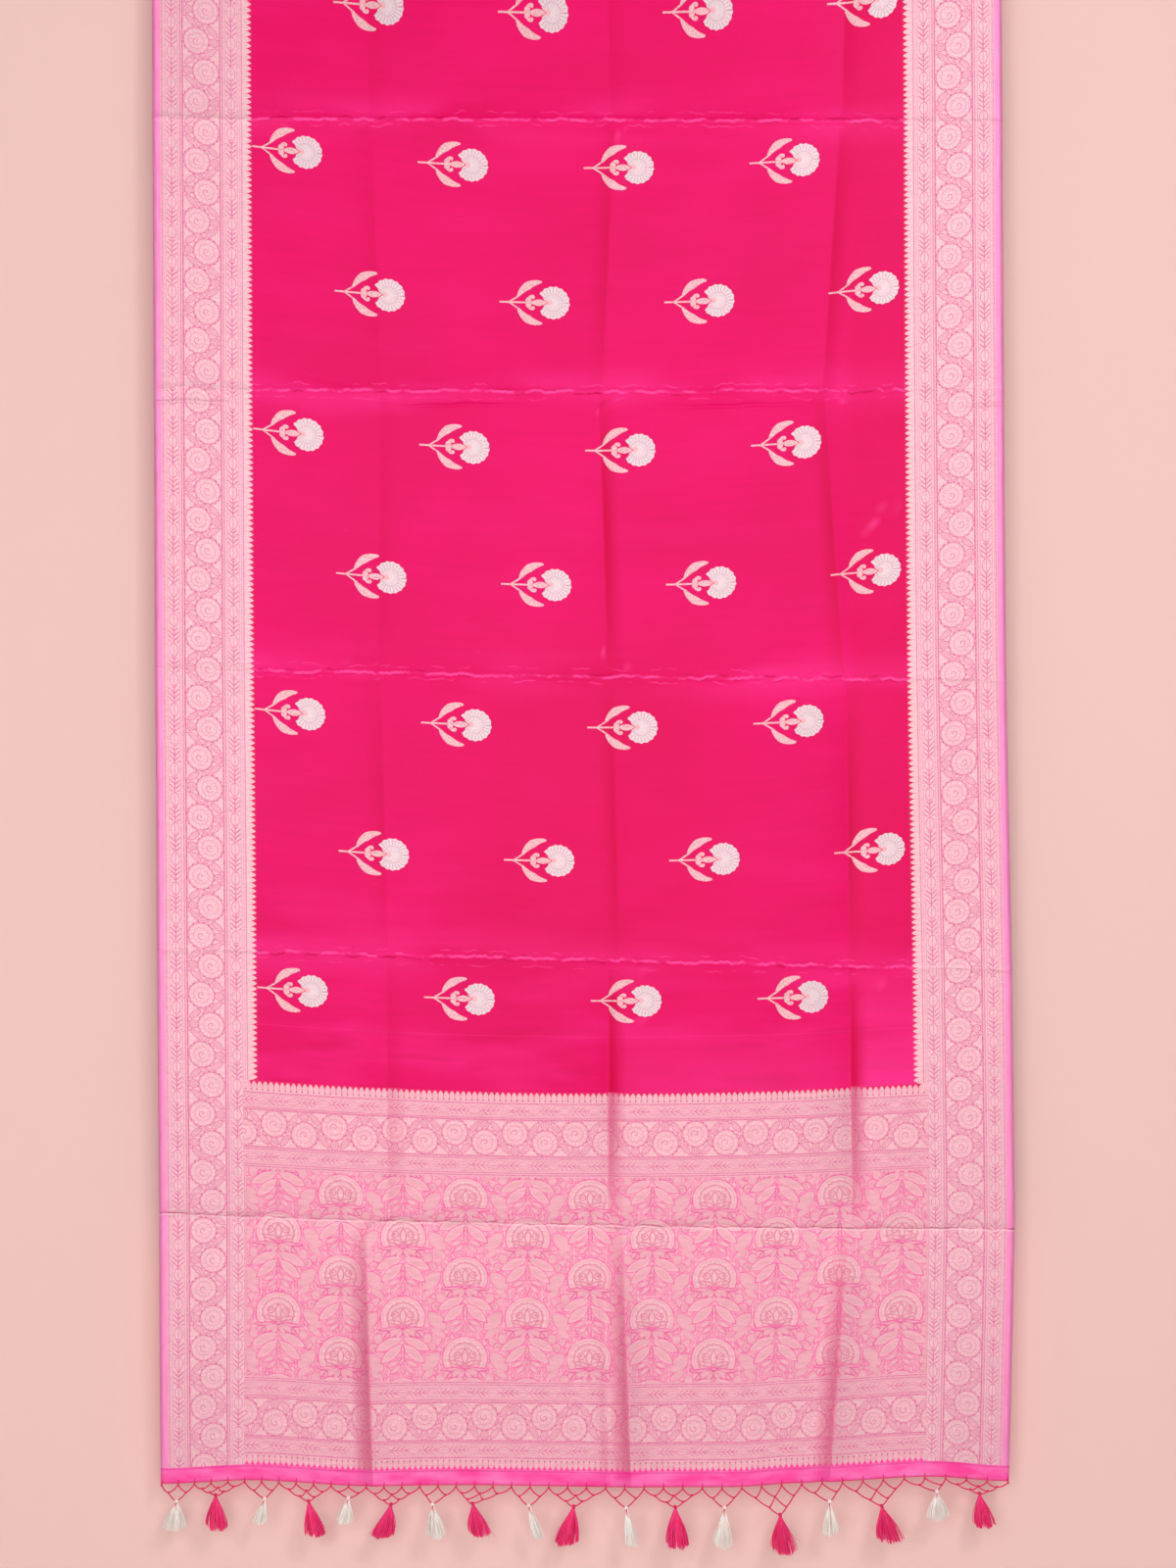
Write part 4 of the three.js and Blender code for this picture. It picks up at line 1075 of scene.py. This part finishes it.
def strand_mesh(runs, sides):
    """Bends a round strand along each run of (point, radius); returns their joined mesh."""
    curve = bpy.data.curves.new("strands", "CURVE")
    curve.dimensions = "3D"
    curve.bevel_depth = 0.001
    curve.bevel_resolution = sides
    curve.use_fill_caps = True
    curve.resolution_u = 1
    for run in runs:
        spline = curve.splines.new("POLY")
        spline.points.add(len(run) - 1)
        for point, (place, radius) in zip(spline.points, run):
            point.co = (*[0.001 * c for c in place], 1)
            point.radius = radius
    holder = bpy.data.objects.new("strands", curve)
    scene.collection.objects.link(holder)
    mesh = bpy.data.meshes.new_from_object(holder.evaluated_get(bpy.context.evaluated_depsgraph_get()))
    bpy.data.objects.remove(holder)
    bpy.data.curves.remove(curve)
    return mesh


def drooping(a, b, sag):
    """A run of thread from a to b that hangs a little between its ends."""
    return [(a.lerp(b, t) - Vector((0, 0, sag * 4 * t * (1 - t))), 0.95) for t in [i / 7 for i in range(8)]]


def add_mesh(bm, mesh, material):
    first = len(bm.faces)
    bm.from_mesh(mesh)
    bm.faces.ensure_lookup_table()
    for face in bm.faces[first:]:
        face.material_index = material
        face.smooth = True
    bpy.data.meshes.remove(mesh)


def add_ball(bm, place, size, material, rings=8):
    made = bmesh.ops.create_uvsphere(bm, u_segments=12, v_segments=rings, radius=1)
    bmesh.ops.scale(bm, vec=[0.001 * s for s in size], verts=made["verts"])
    bmesh.ops.translate(bm, vec=[0.001 * c for c in place], verts=made["verts"])
    for face in {f for vert in made["verts"] for f in vert.link_faces}:
        face.material_index = material
        face.smooth = True


def make_tassel(index):
    neck_x, tip_x, knot_drop, tip_drop, half = TASSELS[index]
    white = index % 2 == 0
    silk_colour = "white" if white else "pink"
    count, lock_count, strand_count, stray_count = (3, 16, 150, 5) if white else (4, 24, 210, 9)
    chance = random.Random(40 + index)
    centre = 1 + 2.5 * index
    first = centre - (count - 1) / 2
    bm = bmesh.new()
    tops, threads, knots = [], [], []
    for i in range(count):
        edge = hem_point(stitch_u(first + i))
        top = edge + Vector((0, -NET_OFF, -2.6))
        tops.append(top)
        shared = (i == 0 and index > 0) or (i == count - 1 and index < len(TASSELS) - 1)
        if not shared or i == count - 1:
            # the stitch: up the front of the hem, over, and back behind it
            for start, stitch in ((0.62, STITCH_FRONT), (0.5, STITCH_BACK)):
                threads.append([(top, start)] + [(edge + Vector(off), radius) for *off, radius in stitch])
            knots.append((top, 1.6))
    hem = hem_point(stitch_u(centre))
    knot = Vector((neck_x, hem.y - NET_OFF, hem.z - knot_drop))
    crossings, links = NETS[silk_colour]
    points = list(tops)
    for stitch, share, sink in crossings:
        p = tops[int(stitch)].lerp(tops[ceil(stitch)], 0.5).lerp(knot, share)
        points.append(Vector((p.x + chance.uniform(-0.8, 0.8), p.y, p.z - sink + chance.uniform(-0.6, 0.6))))
        knots.append((points[-1], 1.5 if white else 1.6))
    points.append(knot)
    for a, b in links.split():
        threads.append(drooping(points[int(a)], points[int(b)], chance.uniform(0.9, 2.4)))
    add_mesh(bm, strand_mesh(threads, 1), 1)
    for place, r in knots:
        add_ball(bm, place, (r, r, r * 1.15), 1, 6)
    # knot or bead, wrapped neck
    length = tip_drop - knot_drop
    lean = Vector((tip_x - neck_x, 0, -length)).normalized()
    head = (0.2 if white else 0.14) * length
    if white:
        add_ball(bm, knot, (2.7, 2.7, 2.6), 2, 10)
        add_ball(bm, knot + lean * 3.4, (1.3, 1.3, 1.6), 1, 6)
    else:
        add_ball(bm, knot, (2.7, 2.5, 2.4), 1, 10)
        add_ball(bm, knot + lean * 2.8 + Vector((0.5, 0, 0)), (2.1, 2.1, 1.9), 1, 8)
    add_ball(bm, knot + lean * (head * 0.75), (2.3, 2.2, 0.42 * head + 1), 0, 8)
    # skirt of fine strands, fuller outside, in soft locks
    runs = []
    locks = [(chance.uniform(0, 2 * pi), sqrt(chance.random()), chance.uniform(-0.05, 0.05))
             for _ in range(lock_count)]
    for _ in range(strand_count):
        turn, spread, cut = chance.choice(locks)
        turn += chance.gauss(0, 0.3)
        spread = min(1.0, max(0.05, spread + chance.gauss(0, 0.12)))
        end = length * (1 + cut - abs(chance.gauss(0, 0.025)) - 0.12 * spread ** 3)
        wave, phase = chance.uniform(0.1, 0.55), chance.uniform(0, 6.3)
        run = []
        for i in range(7):
            t = i / 6
            at = mix(head * 0.55, end, t)
            r = 0.4 + 1.5 * spread + (half - 2.0) * spread * sin(1.5 * t) ** 1.1
            r += wave * sin(5 * t + phase) * t
            p = knot + lean * at + Vector((r * cos(turn), 0.62 * r * sin(turn), 0))
            run.append((p, mix(0.5, 0.34, t)))
        runs.append(run)
    for _ in range(stray_count):
        turn, reach = chance.uniform(0, 2 * pi), half * chance.uniform(1.05, 1.35)
        end, bow = length * chance.uniform(0.6, 1.0), chance.uniform(-2, 2)
        run = []
        for i in range(8):
            t = i / 7
            out = Vector(((1 + reach * t ** 1.6) * cos(turn) + bow * sin(t * 3.1),
                          0.5 * reach * t * sin(turn), 0))
            run.append((knot + lean * mix(head, end, t) + out, 0.13))
        runs.append(run)
    add_mesh(bm, strand_mesh(runs, 0), 0)
    if white:
        tails = [[(knot + lean * 2 + Vector((0, -1.5, 0)), 0.4),
                  (knot + lean * (5 + k) + Vector((k - 1.5, -2.4, 0)), 0.3),
                  (knot + lean * (9 + 2 * k) + Vector((2.2 * k - 3, -2.6, 0)), 0.2)] for k in range(3)]
        add_mesh(bm, strand_mesh(tails, 0), 1)
    tassel = to_piece(f"tassel_{index + 1:02d}_{silk_colour}", bm, WHITE_FLOSS if white else PINK_FLOSS,
                      NET_THREAD, PEARL)
    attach(tassel, "root")
    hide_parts(f"tassel_{index + 1:02d}")
    return tassel


tassels = [make_tassel(i) for i in range(len(TASSELS))]

# the running thread along the hem's lower edge, which the net's stitches hold
run = [(hem_point(WIDTH * i / 230) + Vector((0, -0.2, -0.35)), 0.5) for i in range(231)]
bm = bmesh.new()
add_mesh(bm, strand_mesh([run], 1), 0)
edge_thread = to_piece("hem_edge_thread", bm, NET_THREAD)
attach(edge_thread, "root")

(FALL + CREST) / 1000
